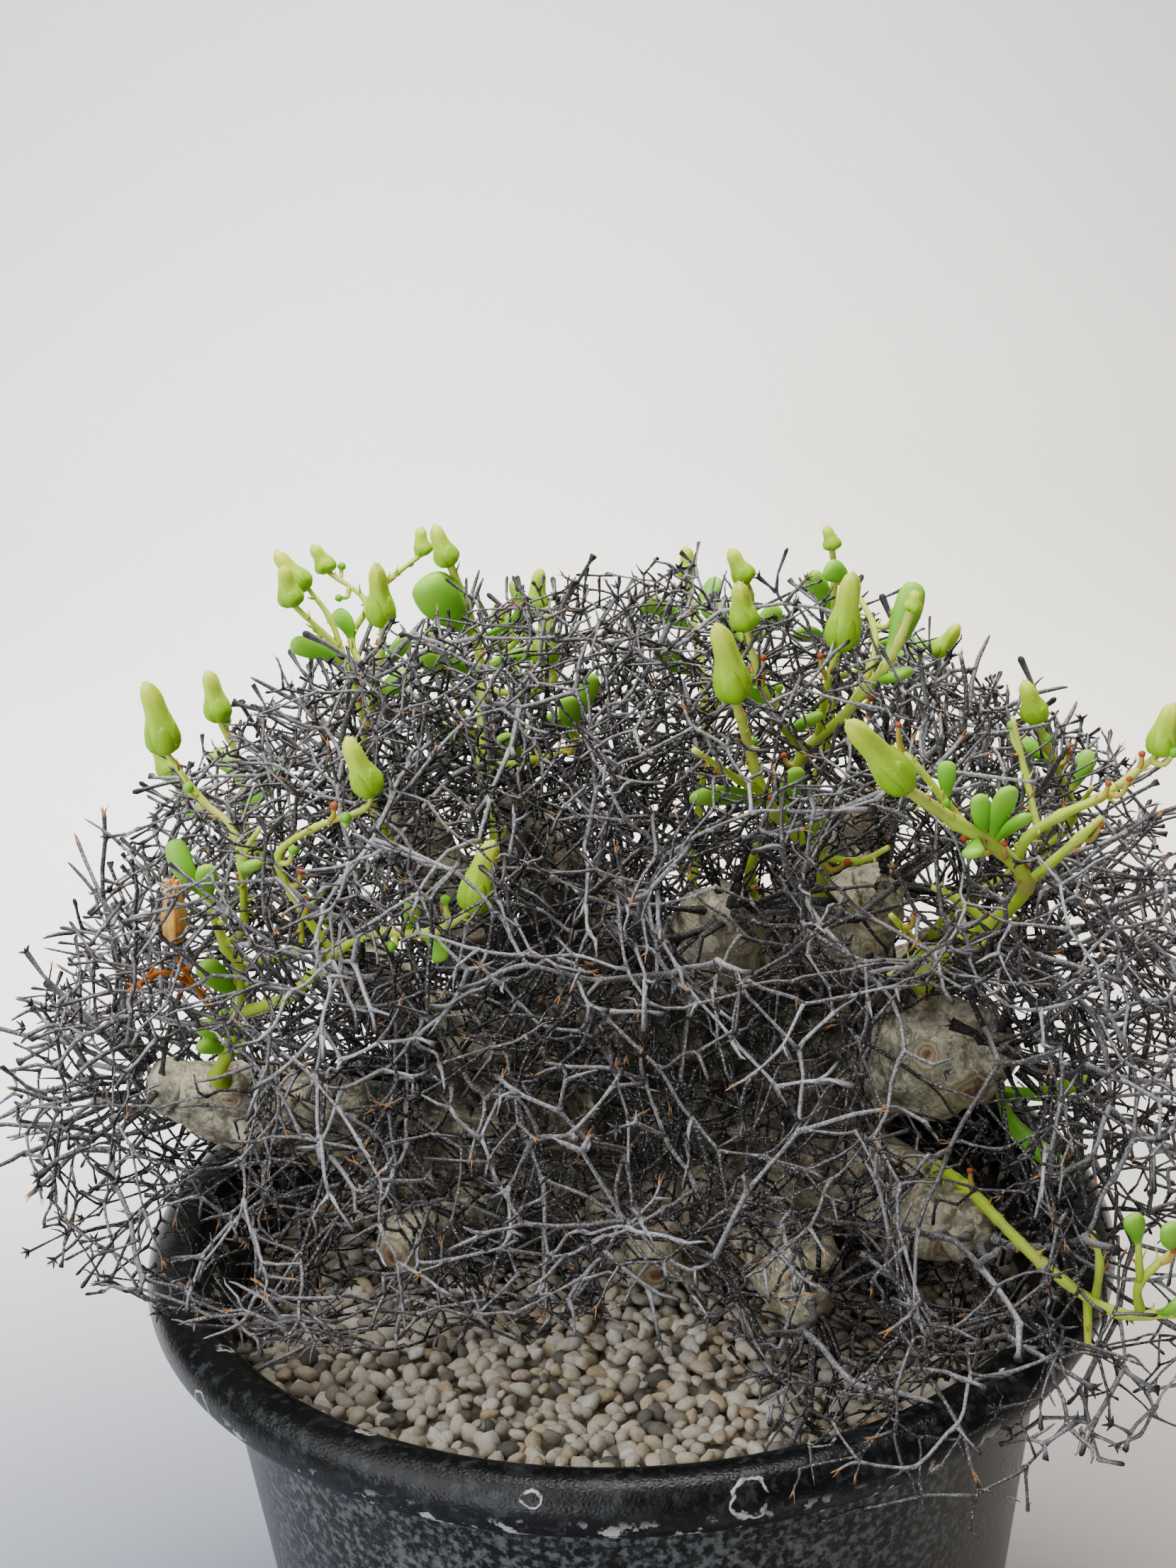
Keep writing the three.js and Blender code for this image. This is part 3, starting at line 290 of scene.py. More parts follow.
def warped(tree, place, size, detail, reach):
    drift = cloud(tree, place, size, detail, "Color")
    return add(tree, "VectorMath", {"operation": "MULTIPLY_ADD"},
               {0: drift, 1: (reach * MM,) * 3, 2: place}).outputs["Vector"]


def dent(tree, height, strength, depth, under=None):
    below = {} if under is None else {"Normal": under}
    return add(tree, "Bump", inputs={"Strength": strength, "Distance": depth * MM,
                                     "Height": height, **below}).outputs["Normal"]

# %% [markdown]
# The pot is an injection-moulded nursery pot of black polypropylene. It feels like satin, with a
# fine leather grain from the mould. Hard water has dried on it: as faint blotches and spots all
# over, as dense grey flecks on the wall, as ragged white rings where drops stood on the rim, and
# as crusts of lime where drips hang under it. Plastic has an IOR near 1.49 and no metal. The
# grain's cells are 0.8 mm, the flecks and spots 1 to 2 mm, the drop rings 3 to 6 mm and the
# blotches 4 to 12 mm wide. A rim of noise round a Voronoi cell's middle draws each ring.

# %% Black satin polypropylene with lime marks
def black_polypropylene():
    material, tree, shader, place = begin("black_satin_polypropylene", 0.34, 1.49,
                                          **{"Specular IOR Level": 0.28})

    def clamped(*parts):
        return maths(tree, *parts, clamp=True)

    def mist(size, start, end):
        return between(tree, cloud(tree, place, size, 6, Roughness=0.62), start, end)

    blotch = clamped("MULTIPLY", mist(7, 0.53, 0.68), 0.07)
    spots = clamped("MULTIPLY", mist(1.7, 0.53, 0.6), clamped("ADD", mist(11, 0.4, 0.58), 0.35))
    drops = add(tree, "TexVoronoi", inputs={"Vector": warped(tree, place, 2.6, 3, 2.4),
                                            "Scale": per_mm(8)})
    chance = add(tree, "SeparateColor", inputs={"Color": drops.outputs["Color"]})
    radius = clamped("MULTIPLY_ADD", chance.outputs["Red"], 0.22, 0.16)
    off = clamped("ABSOLUTE", maths(tree, "SUBTRACT", drops.outputs["Distance"], radius))
    wet = clamped("MULTIPLY", between(tree, off, 0.035, 0.012),
                  between(tree, chance.outputs["Green"], 0.66, 0.7))
    wet = clamped("MULTIPLY", wet, mist(3, 0.4, 0.52))
    height = add(tree, "SeparateXYZ", inputs={"Vector": place}).outputs["Z"]
    ring = clamped("MULTIPLY", wet, between(tree, height, 0.134, 0.137))
    flecks = clamped("MULTIPLY", mist(1.5, 0.47, 0.6), between(tree, height, 0.134, 0.13))
    fading = clamped("MULTIPLY_ADD", between(tree, height, 0.02, 0.12), 0.6, 0.4)
    flecks = clamped("MULTIPLY", flecks, fading)
    stained = clamped("ADD", clamped("MULTIPLY_ADD", spots, 0.1, blotch),
                      clamped("MULTIPLY_ADD", flecks, 0.44, ring))
    drip = clamped("MULTIPLY", between(tree, height, 0.132, 0.1345),
                   between(tree, height, 0.1405, 0.1375))
    lime = clamped("MAXIMUM", clamped("MULTIPLY", drip, mist(3.2, 0.56, 0.6)),
                   clamped("MULTIPLY", ring, 0.7))
    skin = mix(tree, lime, mix(tree, stained, "#0B0D0F", "#8A8D8E"), "#CFCFCB")
    grain = add(tree, "TexVoronoi", {"feature": "DISTANCE_TO_EDGE"},
                {"Vector": place, "Scale": per_mm(0.8)}).outputs["Distance"]
    wear(tree, shader, skin, dent(tree, lime, 0.7, 0.2, dent(tree, grain, 0.45, 0.2)),
         between(tree, stained, 0, 1, 0.33, 0.8))
    return material


pot_plastic = black_polypropylene()
print("pot material nodes:", len(pot_plastic.node_tree.nodes))

# %% [markdown]
# The pot itself is a turned shape: a tapered wall that rolls over into a thick hollow rim. A
# profile turned about the axis, which Blender's Screw modifier could also do, gives clean rings.
# The numbers are the CAD pot's, with many more sides. Its eight drain slots are cut by a Boolean.

# %% Pot
POT = {"wall": 2.2, "floor": 2.5, "rim_radius": 80.15, "rim_height": 140.0, "roll": 4.85}
POT_SIDES, LIP_ANGLE = 160, -50
SLOTS = {"count": 8, "width": 3.5, "length": 13, "radius": 34}


def rim_arc(radius, angles):
    angles = np.radians(angles)
    return np.stack([POT["rim_radius"] + radius * np.cos(angles),
                     POT["rim_height"] + radius * np.sin(angles)], -1)


def make_pot():
    roll, wall = POT["roll"], POT["wall"]
    outline = np.concatenate([
        [[0, 0], [55.4, 0], [56.6, 0.25], [57.6, 0.9], [58.6, 1.6], [59.2, 3]],
        np.stack([np.linspace(59.35, 73.6, 8), np.linspace(6, 127, 8)], -1),
        [[74, 131], [74.5, 133.6], [75.1, 135.4]],
        rim_arc(roll - wall, np.linspace(200, LIP_ANGLE + 4, 14)),
        rim_arc(roll - wall / 2, [LIP_ANGLE - 3]),
        rim_arc(roll, np.linspace(LIP_ANGLE + 2, 190, 32)),
        [[73.1, 136.2], [72.4, 134]],
        np.stack([np.linspace(71.6, 57.4, 5), np.linspace(130, 6, 5)], -1),
        [[56.6, 3.4], [55, POT["floor"]], [0, POT["floor"]]],
    ])
    turn = np.arange(POT_SIDES) * 2 * math.pi / POT_SIDES
    clay, sides, rings = Clay(), POT_SIDES, outline[1:-1]
    points = np.stack([rings[:, None, 0] * np.cos(turn), rings[:, None, 0] * np.sin(turn),
                       np.repeat(rings[:, 1:], sides, 1)], -1).reshape(-1, 3)
    faces = bands(len(rings) - 1, sides)
    under, over, last = len(points), len(points) + 1, (len(rings) - 1) * sides
    faces += [[(k + 1) % sides, k, under] for k in range(sides)]
    faces += [[last + k, last + (k + 1) % sides, over] for k in range(sides)]
    clay.add([*points, [0, 0, 0], [0, 0, POT["floor"]]], faces)
    pot = clay.piece("pot_shell", [pot_plastic], "pot", ["pot"])

    cutter = bmesh.new()
    for i in range(SLOTS["count"]):
        angle = (i + 0.5) * 2 * math.pi / SLOTS["count"]
        place = (Matrix.Rotation(angle, 4, "Z") @ Matrix.Translation((SLOTS["radius"] * MM, 0, 0))
                 @ Matrix.Diagonal((SLOTS["length"] * MM, SLOTS["width"] * MM, 0.02, 1)))
        bmesh.ops.create_cube(cutter, matrix=place)
    slots = show("slots", bpy.data.meshes.new("slots"))
    cutter.to_mesh(slots.data)
    cut = pot.modifiers.new("slots", "BOOLEAN")
    cut.object, cut.solver = slots, "EXACT"
    bpy.context.view_layer.update()
    whole = pot.evaluated_get(bpy.context.evaluated_depsgraph_get())
    pot.data = bpy.data.meshes.new_from_object(whole)
    pot.modifiers.clear()
    bpy.data.objects.remove(slots)
    return pot


pot = make_pot()
print("pot:", len(pot.data.polygons), "faces")

# %% [markdown]
# The soil is a gritty potting mix that only shows through gaps. Its CAD solid has the right shape,
# so it stays and gets a better finish: dark brown crumbs of 1 to 3 mm with pale grains.

# %% Potting mix
def potting_mix():
    material, tree, shader, place = begin("gritty_potting_mix", 0.95, 1.5)
    crumb = add(tree, "TexVoronoi", inputs={"Vector": place, "Scale": per_mm(1.8)})
    shade = ramp(tree, crumb.outputs["Color"],
                 [(0.0, "#2A2019"), (0.7, "#5A4632"), (1.0, "#B9AB95")])
    wear(tree, shader, shade, dent(tree, crumb.outputs["Distance"], 0.9, 0.8))
    return material


nodes["soil"].data.materials.clear()
nodes["soil"].data.materials.append(potting_mix())

# %% [markdown]
# The top dressing is washed river grit: rounded quartz and feldspar grains 2 to 4 mm long, matt,
# pale cream to tan, a few grey or rusty. The grain colour varies from stone to stone, so each
# pebble carries one random value and the material looks its colour up from that. Stone has an IOR
# near 1.54. A fine mottling of 0.6 mm breaks each pebble's colour up.

# %% Washed river grit
def river_grit():
    material, tree, shader, place = begin("washed_river_grit", 0.72, 1.54)
    stone = ramp(tree, painted(tree, "tone"), [
        (0.0, "#5E5A54"), (0.07, "#978F83"), (0.2, "#C4BAA8"), (0.4, "#DCD3C0"),
        (0.6, "#E8DFCC"), (0.78, "#D2BC98"), (0.92, "#F8F3E8"), (1.0, "#B89A74")])
    mottle = cloud(tree, place, 0.7, 5)
    skin = mix(tree, 1.0, stone, between(tree, mottle, 0.3, 0.7, 0.78, 1.08), "MULTIPLY")
    wear(tree, shader, skin, dent(tree, mottle, 0.35, 0.15))
    return material


grit = river_grit()

# %% [markdown]
# The CAD gravel is one slab with larger-than-life pebbles. Here each pebble is real: one of a few
# lumpy ellipsoids, turned at random and laid on a shaken honeycomb. A physics drop would settle
# them more truly but takes long and can differ between runs. Two layers hide what is beneath.

# %% Gravel
GRIT_SPACING, GRIT_SIZE = 2.95, (2.3, 4.3)
TRUNK_AT, TRUNK_RADIUS = np.array([6.0, 28.0]), 21.0
BED_RADIUS = 71.2


def ball(detail):
    mesh = bmesh.new()
    bmesh.ops.create_icosphere(mesh, subdivisions=detail, radius=1)
    points = np.array([v.co for v in mesh.verts])
    faces = [[v.index for v in face.verts] for face in mesh.faces]
    mesh.free()
    return points, faces


def random_turns(rng, count):
    q = rng.normal(size=(count, 4))
    w, x, y, z = (q / np.linalg.norm(q, axis=1, keepdims=True)).T
    return np.stack([1 - 2 * (y * y + z * z), 2 * (x * y - z * w), 2 * (x * z + y * w),
                     2 * (x * y + z * w), 1 - 2 * (x * x + z * z), 2 * (y * z - x * w),
                     2 * (x * z - y * w), 2 * (y * z + x * w), 1 - 2 * (x * x + y * y)],
                    -1).reshape(-1, 3, 3)


def pebbles(name, detail, spacing, low, high, seed, replaced=()):
    rng = np.random.default_rng(seed)
    points, faces = ball(detail)
    lumps = []
    for i in range(8):
        bumps = np.array([noise.noise(Vector(p * 1.1) + Vector((i * 7.3, 0, 0))) for p in points])
        lumps.append(points * (1 + 0.42 * bumps[:, None]) * [1, rng.uniform(0.62, 0.82), 0.6])
    side = int(BED_RADIUS / spacing) + 2
    column, row = np.meshgrid(np.arange(-side, side + 1), np.arange(-side - 6, side + 7))
    spots = np.stack([(column + 0.5 * (row % 2)) * spacing, row * spacing * 0.866],
                     -1).reshape(-1, 2)
    spots += rng.uniform(-0.3, 0.3, spots.shape) * spacing
    keep = np.hypot(*spots.T) < BED_RADIUS - 1.2
    keep &= np.hypot(*(spots - TRUNK_AT).T) > TRUNK_RADIUS
    spots = spots[keep]
    turns = random_turns(rng, len(spots))
    size = rng.uniform(*GRIT_SIZE, len(spots)) / 2
    height = rng.uniform(low, high, len(spots))
    tone = rng.random(len(spots))
    shape = np.stack([lumps[i] for i in rng.integers(0, len(lumps), len(spots))])
    laid = np.einsum("nij,npj->npi", turns, shape * size[:, None, None] * 1.12)
    laid *= [1, 1, 0.82]
    laid += np.concatenate([spots, height[:, None]], 1)[:, None]
    clay = Clay()
    every = (np.array(faces)[None] + (np.arange(len(spots)) * len(points))[:, None, None])
    clay.add(laid.reshape(-1, 3), every.reshape(-1, 3).tolist(), tone=np.repeat(tone, len(points)))
    clay.piece(name, [grit], "gravel", replaced)
    print(name, len(spots), "pebbles")


pebbles("gravel_top", 2, GRIT_SPACING, 126.2, 127.7, 21, ["gravel"])
pebbles("gravel_under", 1, 3.7, 124.0, 125.2, 22)

# %% [markdown]
# Under the pebbles lies a bed of the same grit that has only to close the last gaps. A flat disc
# would do, but a wavy one catches light as sunken stones do. It is a grid of rings, pushed up and
# down by noise, with a plain underside.

# %% Gravel bed
def make_bed():
    rings, sides, clay = 40, 96, Clay()
    radius = np.linspace(0.5, BED_RADIUS, rings)
    turn = np.arange(sides) * 2 * math.pi / sides
    x, y = radius[:, None] * np.cos(turn), radius[:, None] * np.sin(turn)
    lump = np.array([[noise.noise(Vector((a / 2, b / 2, 0.3))) for a, b in zip(*row)]
                     for row in zip(x, y)])
    top = np.stack([x, y, 124.2 + 0.7 * lump], -1)
    base = top[-1].copy()
    base[:, 2] = 114.2
    points = np.concatenate([top.reshape(-1, 3), base])
    faces = [face[::-1] for face in bands(rings, sides)]
    faces += [list(range(sides)), [rings * sides + k for k in range(sides)][::-1]]
    clay.add(points, faces, tone=0.1)
    clay.piece("gravel_bed", [grit], "gravel")


make_bed()

# %% [markdown]
# The CAD model holds one node for each bunch of stalks: a small crown on a limb's tip, and stalks
# that fork. Its mesh is read back here as a tree of points, so that the finer stalks made later
# run exactly where the CAD ones do. Corners joined by short edges belong to one fork, and each
# long edge between two forks is a twig.

# %% Read the bunches back
SHORT_EDGE, CROWN_REACH = 2.7, 6.9


def read_bunch(name):
    mesh = nodes[name].data
    points, which = np.unique(np.round(corners_of(mesh), 3), axis=0, return_inverse=True)
    which = which.ravel()
    faces = np.array([[which[i] for i in face.vertices] for face in mesh.polygons])
    pairs = np.stack([faces, np.roll(faces, -1, 1)], -1)
    length = np.linalg.norm(points[pairs[..., 0]] - points[pairs[..., 1]], axis=-1)
    crown = points[np.unique(faces[(length > SHORT_EDGE).all(1)])].mean(0)
    group = np.arange(len(points))
    near = np.flatnonzero(np.linalg.norm(points - crown, axis=1) < CROWN_REACH)
    joins = [(near[0], i) for i in near] + list(pairs[length <= SHORT_EDGE])

    def top(i):
        while group[i] != i:
            group[i] = group[group[i]]
            i = group[i]
        return i

    for a, b in joins:
        group[top(b)] = top(a)
    group = np.array([top(i) for i in range(len(points))])
    middle = {g: points[group == g].mean(0) for g in set(group)}
    reach = {g: set() for g in middle}
    for a, b in pairs.reshape(-1, 2):
        if group[a] != group[b]:
            reach[group[a]].add(group[b])
            reach[group[b]].add(group[a])
    root = group[near[0]]
    tree, seen, queue = [(crown, -1)], {root: 0}, [root]
    while queue:
        here = queue.pop(0)
        for there in sorted(reach[here] - set(seen), key=lambda g: tuple(middle[g])):
            seen[there] = len(tree)
            tree.append((middle[there], seen[here]))
            queue.append(there)
    return tree


bunches = {name: read_bunch(name) for name in sorted(nodes) if name.startswith("twigs_")}
print("twigs read:", sum(len(tree) - 1 for tree in bunches.values()))
crowns = {name: tree[0][0] for name, tree in bunches.items()}

# %% [markdown]
# The caudex is the plant's water store: a trunk of soft wood with fat limbs under waxy, grey-green
# bark that peels in papery flakes. Old leaf bases leave round scars with a sunken ring, and the
# limb tips are banded like a cut potato. The CAD solid gives the limbs. Seeded swellings are added
# to it, a voxel remesh melts all of it into one skin, and noise moves that skin, much as a
# sculptor would block out, fuse and then tool clay.

# %% Caudex shape
SKIN_STEP, SWELLINGS, SCARS = 1.2, 150, 210
TIP_BANDS = {"reach": 22, "fade": 12, "step": 2.3, "lift": 0.07}
KNOBS = [(4, -12, 136), (-44, -1, 136), (36, -1, 152)]
BIG_SCARS = [((60, -17, 166), 5.5), ((57, -33, 147), 4.5), ((30, -37, 141), 6.5),
             ((4, -15, 134), 4.5), ((-47, -5, 135), 4.2), ((38, -6, 150), 4.6),
             ((47, -2, 199), 4.6), ((22, -12, 190), 4)]


def surface_points(mesh, count, rng):
    area = np.array([face.area for face in mesh.polygons])
    chosen = rng.choice(len(area), count, p=area / area.sum())
    places = []
    for i in chosen:
        face = mesh.polygons[int(i)]
        share = rng.dirichlet(np.ones(len(face.vertices)))
        place = sum((mesh.vertices[v].co * float(s) for v, s in zip(face.vertices, share)),
                    Vector())
        places.append((place, face.normal.copy()))
    return places


def melt(mesh, step, rounds):
    body = show("melt", mesh)
    skin = body.modifiers.new("skin", "REMESH")
    skin.mode, skin.voxel_size = "VOXEL", step * MM
    soft = body.modifiers.new("soft", "SMOOTH")
    soft.factor, soft.iterations = 0.5, rounds
    bpy.context.view_layer.update()
    whole = body.evaluated_get(bpy.context.evaluated_depsgraph_get())
    result = bpy.data.meshes.new_from_object(whole)
    bpy.data.objects.remove(body)
    return result


def blocked_out():
    rng = np.random.default_rng(31)
    source = nodes["caudex"].data
    shape = bmesh.new()
    shape.from_mesh(source)
    for place, outward in surface_points(source, SWELLINGS, rng):
        if place.z < 0.131:
            continue
        size = rng.uniform(2.6, 5.4) * MM
        at = place - outward * size * rng.uniform(0.45, 0.75)
        bmesh.ops.create_icosphere(shape, subdivisions=2, radius=size,
                                   matrix=Matrix.Translation(at))
    mesh = bpy.data.meshes.new("caudex")
    shape.to_mesh(mesh)
    return melt(mesh, SKIN_STEP, 7)


def tooled(mesh):
    rng = np.random.default_rng(32)
    count = len(mesh.vertices)
    place = corners_of(mesh)
    outward = np.array([v.normal for v in mesh.vertices])
    lift, scar, band = np.zeros(count), np.zeros(count), np.zeros(count)
    for i, p in enumerate(place):
        v = Vector(p)
        lift[i] = 0.55 * noise.noise(v / 7) + 0.3 * noise.noise(v / 2.6) + 0.14 * noise.noise(v)
    for tip in [np.array(p, float) for p in KNOBS] + list(crowns.values()):
        far = np.linalg.norm(place - tip, axis=1)
        close = far < TIP_BANDS["reach"]
        wave = np.array([noise.noise(Vector(p / 6) + Vector((9, 0, 0))) for p in place[close]])
        fade = np.clip((TIP_BANDS["reach"] - far[close]) / TIP_BANDS["fade"], 0, 1)
        rings = np.sin(far[close] * 2 * math.pi / TIP_BANDS["step"] + 3 * wave)
        lift[close] += TIP_BANDS["lift"] * rings * fade
        band[close] = np.maximum(band[close], fade * (0.5 + 0.5 * rings))
    marks = [(np.array(at, float), size) for at, size in BIG_SCARS]
    marks += [(place[i], rng.uniform(1.3, 3.0)) for i in rng.integers(0, count, SCARS)]
    for at, size in marks:
        if size > 4:
            at = place[np.argmin(np.linalg.norm(place - at, axis=1))]
        rho = np.linalg.norm(place - at, axis=1) / size
        close = rho < 1.3
        r = rho[close]
        deep = 0.12 * size
        lift[close] += deep * (np.exp(-((r - 0.86) / 0.15) ** 2) - 1.1 * np.exp(-(r / 0.55) ** 2)
                               + 0.9 * np.exp(-(r / 0.17) ** 2)
                               + 0.16 * np.cos(r * 16) * np.exp(-((r - 0.6) / 0.4) ** 2))
        scar[close] = np.maximum(scar[close], np.clip(1 - r, 0, 1))
    mesh.vertices.foreach_set("co", ((place + outward * lift[:, None]) * MM).ravel())
    paint_on(mesh, "scar", scar)
    paint_on(mesh, "band", band)
    mesh.polygons.foreach_set("use_smooth", [True] * len(mesh.polygons))
    return mesh


# %% [markdown]
# Living bark under a thin wax: matt on the flakes, faintly glossy where the wax is whole. To the
# eye that is grey-green with tan, papery patches 3 to 8 mm wide, jagged flakes of 3.4 mm with
# cracks between them, short pale and dark flecks under a millimetre, and red-brown hearts in the
# scars. Noise gives the broad colour, Voronoi cells warped by a finer noise give the flakes, and a
# distorted noise the flecks. Wood and wax have an IOR near 1.5. The values painted on the skin
# place the scars and bands, and one, daylight, which is painted once the net of stalks is grown,
# darkens the bark that lies deep in the net towards near black: a painted shade.

# %% Peeling waxy bark
def peeling_bark():
    material, tree, shader, place = begin("peeling_waxy_bark", 0.62, 1.5)
    wide = cloud(tree, place, 6.5, 9, Roughness=0.74)
    skin = ramp(tree, wide, [(0.36, "#4A4B3E"), (0.44, "#7E8272"), (0.5, "#A8A690"),
                             (0.55, "#C8BE9E"), (0.61, "#E4DABC"), (0.69, "#F4EEDE")])
    ragged = warped(tree, place, 1.4, 5, 3.2)
    cell = add(tree, "TexVoronoi", inputs={"Vector": ragged, "Scale": per_mm(3.4)})
    pick = add(tree, "SeparateColor", inputs={"Color": cell.outputs["Color"]})
    swirl = cloud(tree, place, 2.2, 9, Roughness=0.72, Distortion=1.4)
    for value, start, end, share, tint in ((pick.outputs["Red"], 0.68, 0.74, 0.6, "#E8DFC6"),
                                           (pick.outputs["Green"], 0.68, 0.74, 0.6, "#45412F"),
                                           (swirl, 0.53, 0.58, 0.75, "#EEE6CA"),
                                           (swirl, 0.46, 0.41, 0.6, "#38362A")):
        skin = mix(tree, between(tree, value, start, end, 0.0, share), skin, tint)
    flake = add(tree, "TexVoronoi", {"feature": "DISTANCE_TO_EDGE"},
                {"Vector": ragged, "Scale": per_mm(3.4)}).outputs["Distance"]
    crack = ramp(tree, flake, [(0.0, "#FFFFFF"), (0.07, "#000000")])
    skin = mix(tree, maths(tree, "MULTIPLY", crack, 0.55), skin, "#3A3026")
    skin = mix(tree, maths(tree, "MULTIPLY", painted(tree, "band"), 0.6), skin, "#CDBFA0")
    scar = painted(tree, "scar")
    heart = ramp(tree, scar, [(0.0, "#000000"), (0.1, "#FFFFFF")])
    rings = ramp(tree, scar, [(0.0, "#E0D4B4"), (0.16, "#8C7C5E"), (0.3, "#DCCDA8"),
                              (0.45, "#9A8260"), (0.58, "#D2B78C"), (0.72, "#8C4528"),
                              (0.85, "#6E2C1A"), (0.95, "#20120E")])
    skin = mix(tree, maths(tree, "MULTIPLY", heart, 0.75), skin, rings)
    # painted shade: bark with little daylight, deep in the net, is mixed towards near-black #1A1512
    deep = between(tree, painted(tree, "daylight"), 0.14, 0.34, 0.92, 0.0)
    skin = mix(tree, deep, skin, "#1A1512")
    fine = cloud(tree, place, 0.9, 6)
    wear(tree, shader, skin, dent(tree, fine, 0.45, 0.2, dent(tree, flake, 0.8, 0.5)),
         between(tree, wide, 0.4, 0.6, 0.45, 0.85))
    return material


bark = peeling_bark()
caudex_skin = tooled(blocked_out())
caudex_skin.materials.clear()
caudex_skin.materials.append(bark)
settle("caudex_skin", caudex_skin, ["caudex"])
print("caudex:", triangles["caudex_skin"], "triangles")

# %% [markdown]
# The fresh sprays are living tissue in three finishes. Young stems are yellow-green and downy, with
# tan, corky patches and rusty, dried bract tips. Buds are a downy lime green that pales towards the
# closed tip. Leaves are fat, smooth and satin, a deeper green. Living tissue lets some light in, so
# each has a little subsurface scattering, and its water gives it an IOR near 1.4.

# %% Living green finishes
def living_green(name, roughness, stops, mottle, grain, bump_depth):
    material, tree, shader, place = begin(
        name, roughness, 1.4,
        **{"Subsurface Weight": 0.18, "Subsurface Scale": 1.6 * MM,
           "Subsurface Radius": (0.6, 1.0, 0.25)})
    flesh = ramp(tree, painted(tree, "along"), stops)
    patch = ramp(tree, cloud(tree, place, grain, 5), [(0.5, "#000000"), (0.72, "#FFFFFF")])
    tint, share = mottle
    flesh = mix(tree, maths(tree, "MULTIPLY", patch, share), flesh, tint)
    skin = mix(tree, painted(tree, "dry"), flesh, "#B4532E")
    wear(tree, shader, skin, dent(tree, cloud(tree, place, 0.45, 3), 0.4, bump_depth))
    return material


greens = [
    living_green("downy_green_stem", 0.55, [(0.0, "#9DB82C"), (0.5, "#BEDC38"), (1.0, "#DDEC62")],
                 ("#B89272", 0.55), 4, 0.12),
    living_green("downy_lime_bud", 0.55, [(0.0, "#8CC80A"), (0.4, "#A8DC1C"), (0.7, "#CCF03C"),
                                          (0.9, "#E8FA44"), (1.0, "#F4FF6C")],
                 ("#B4DC28", 0.4), 3, 0.06),
    living_green("satin_fat_leaf", 0.4, [(0.0, "#A0D038"), (0.3, "#6CB424"), (0.7, "#84CC30"),
                                         (1.0, "#A4DC48")], ("#9CD444", 0.5), 4, 0.05)]
STEM, BUD, LEAF = 0, 1, 2

# %% [markdown]
# Each spray's lines are the CAD source's own points, in millimetres: stems with a radius, buds with
# a tip and width, leaves from foot to tip. They could be read back from the CAD meshes as the
# stalks are, but buds and leaves need their axes. As data, one loop builds all thirteen.

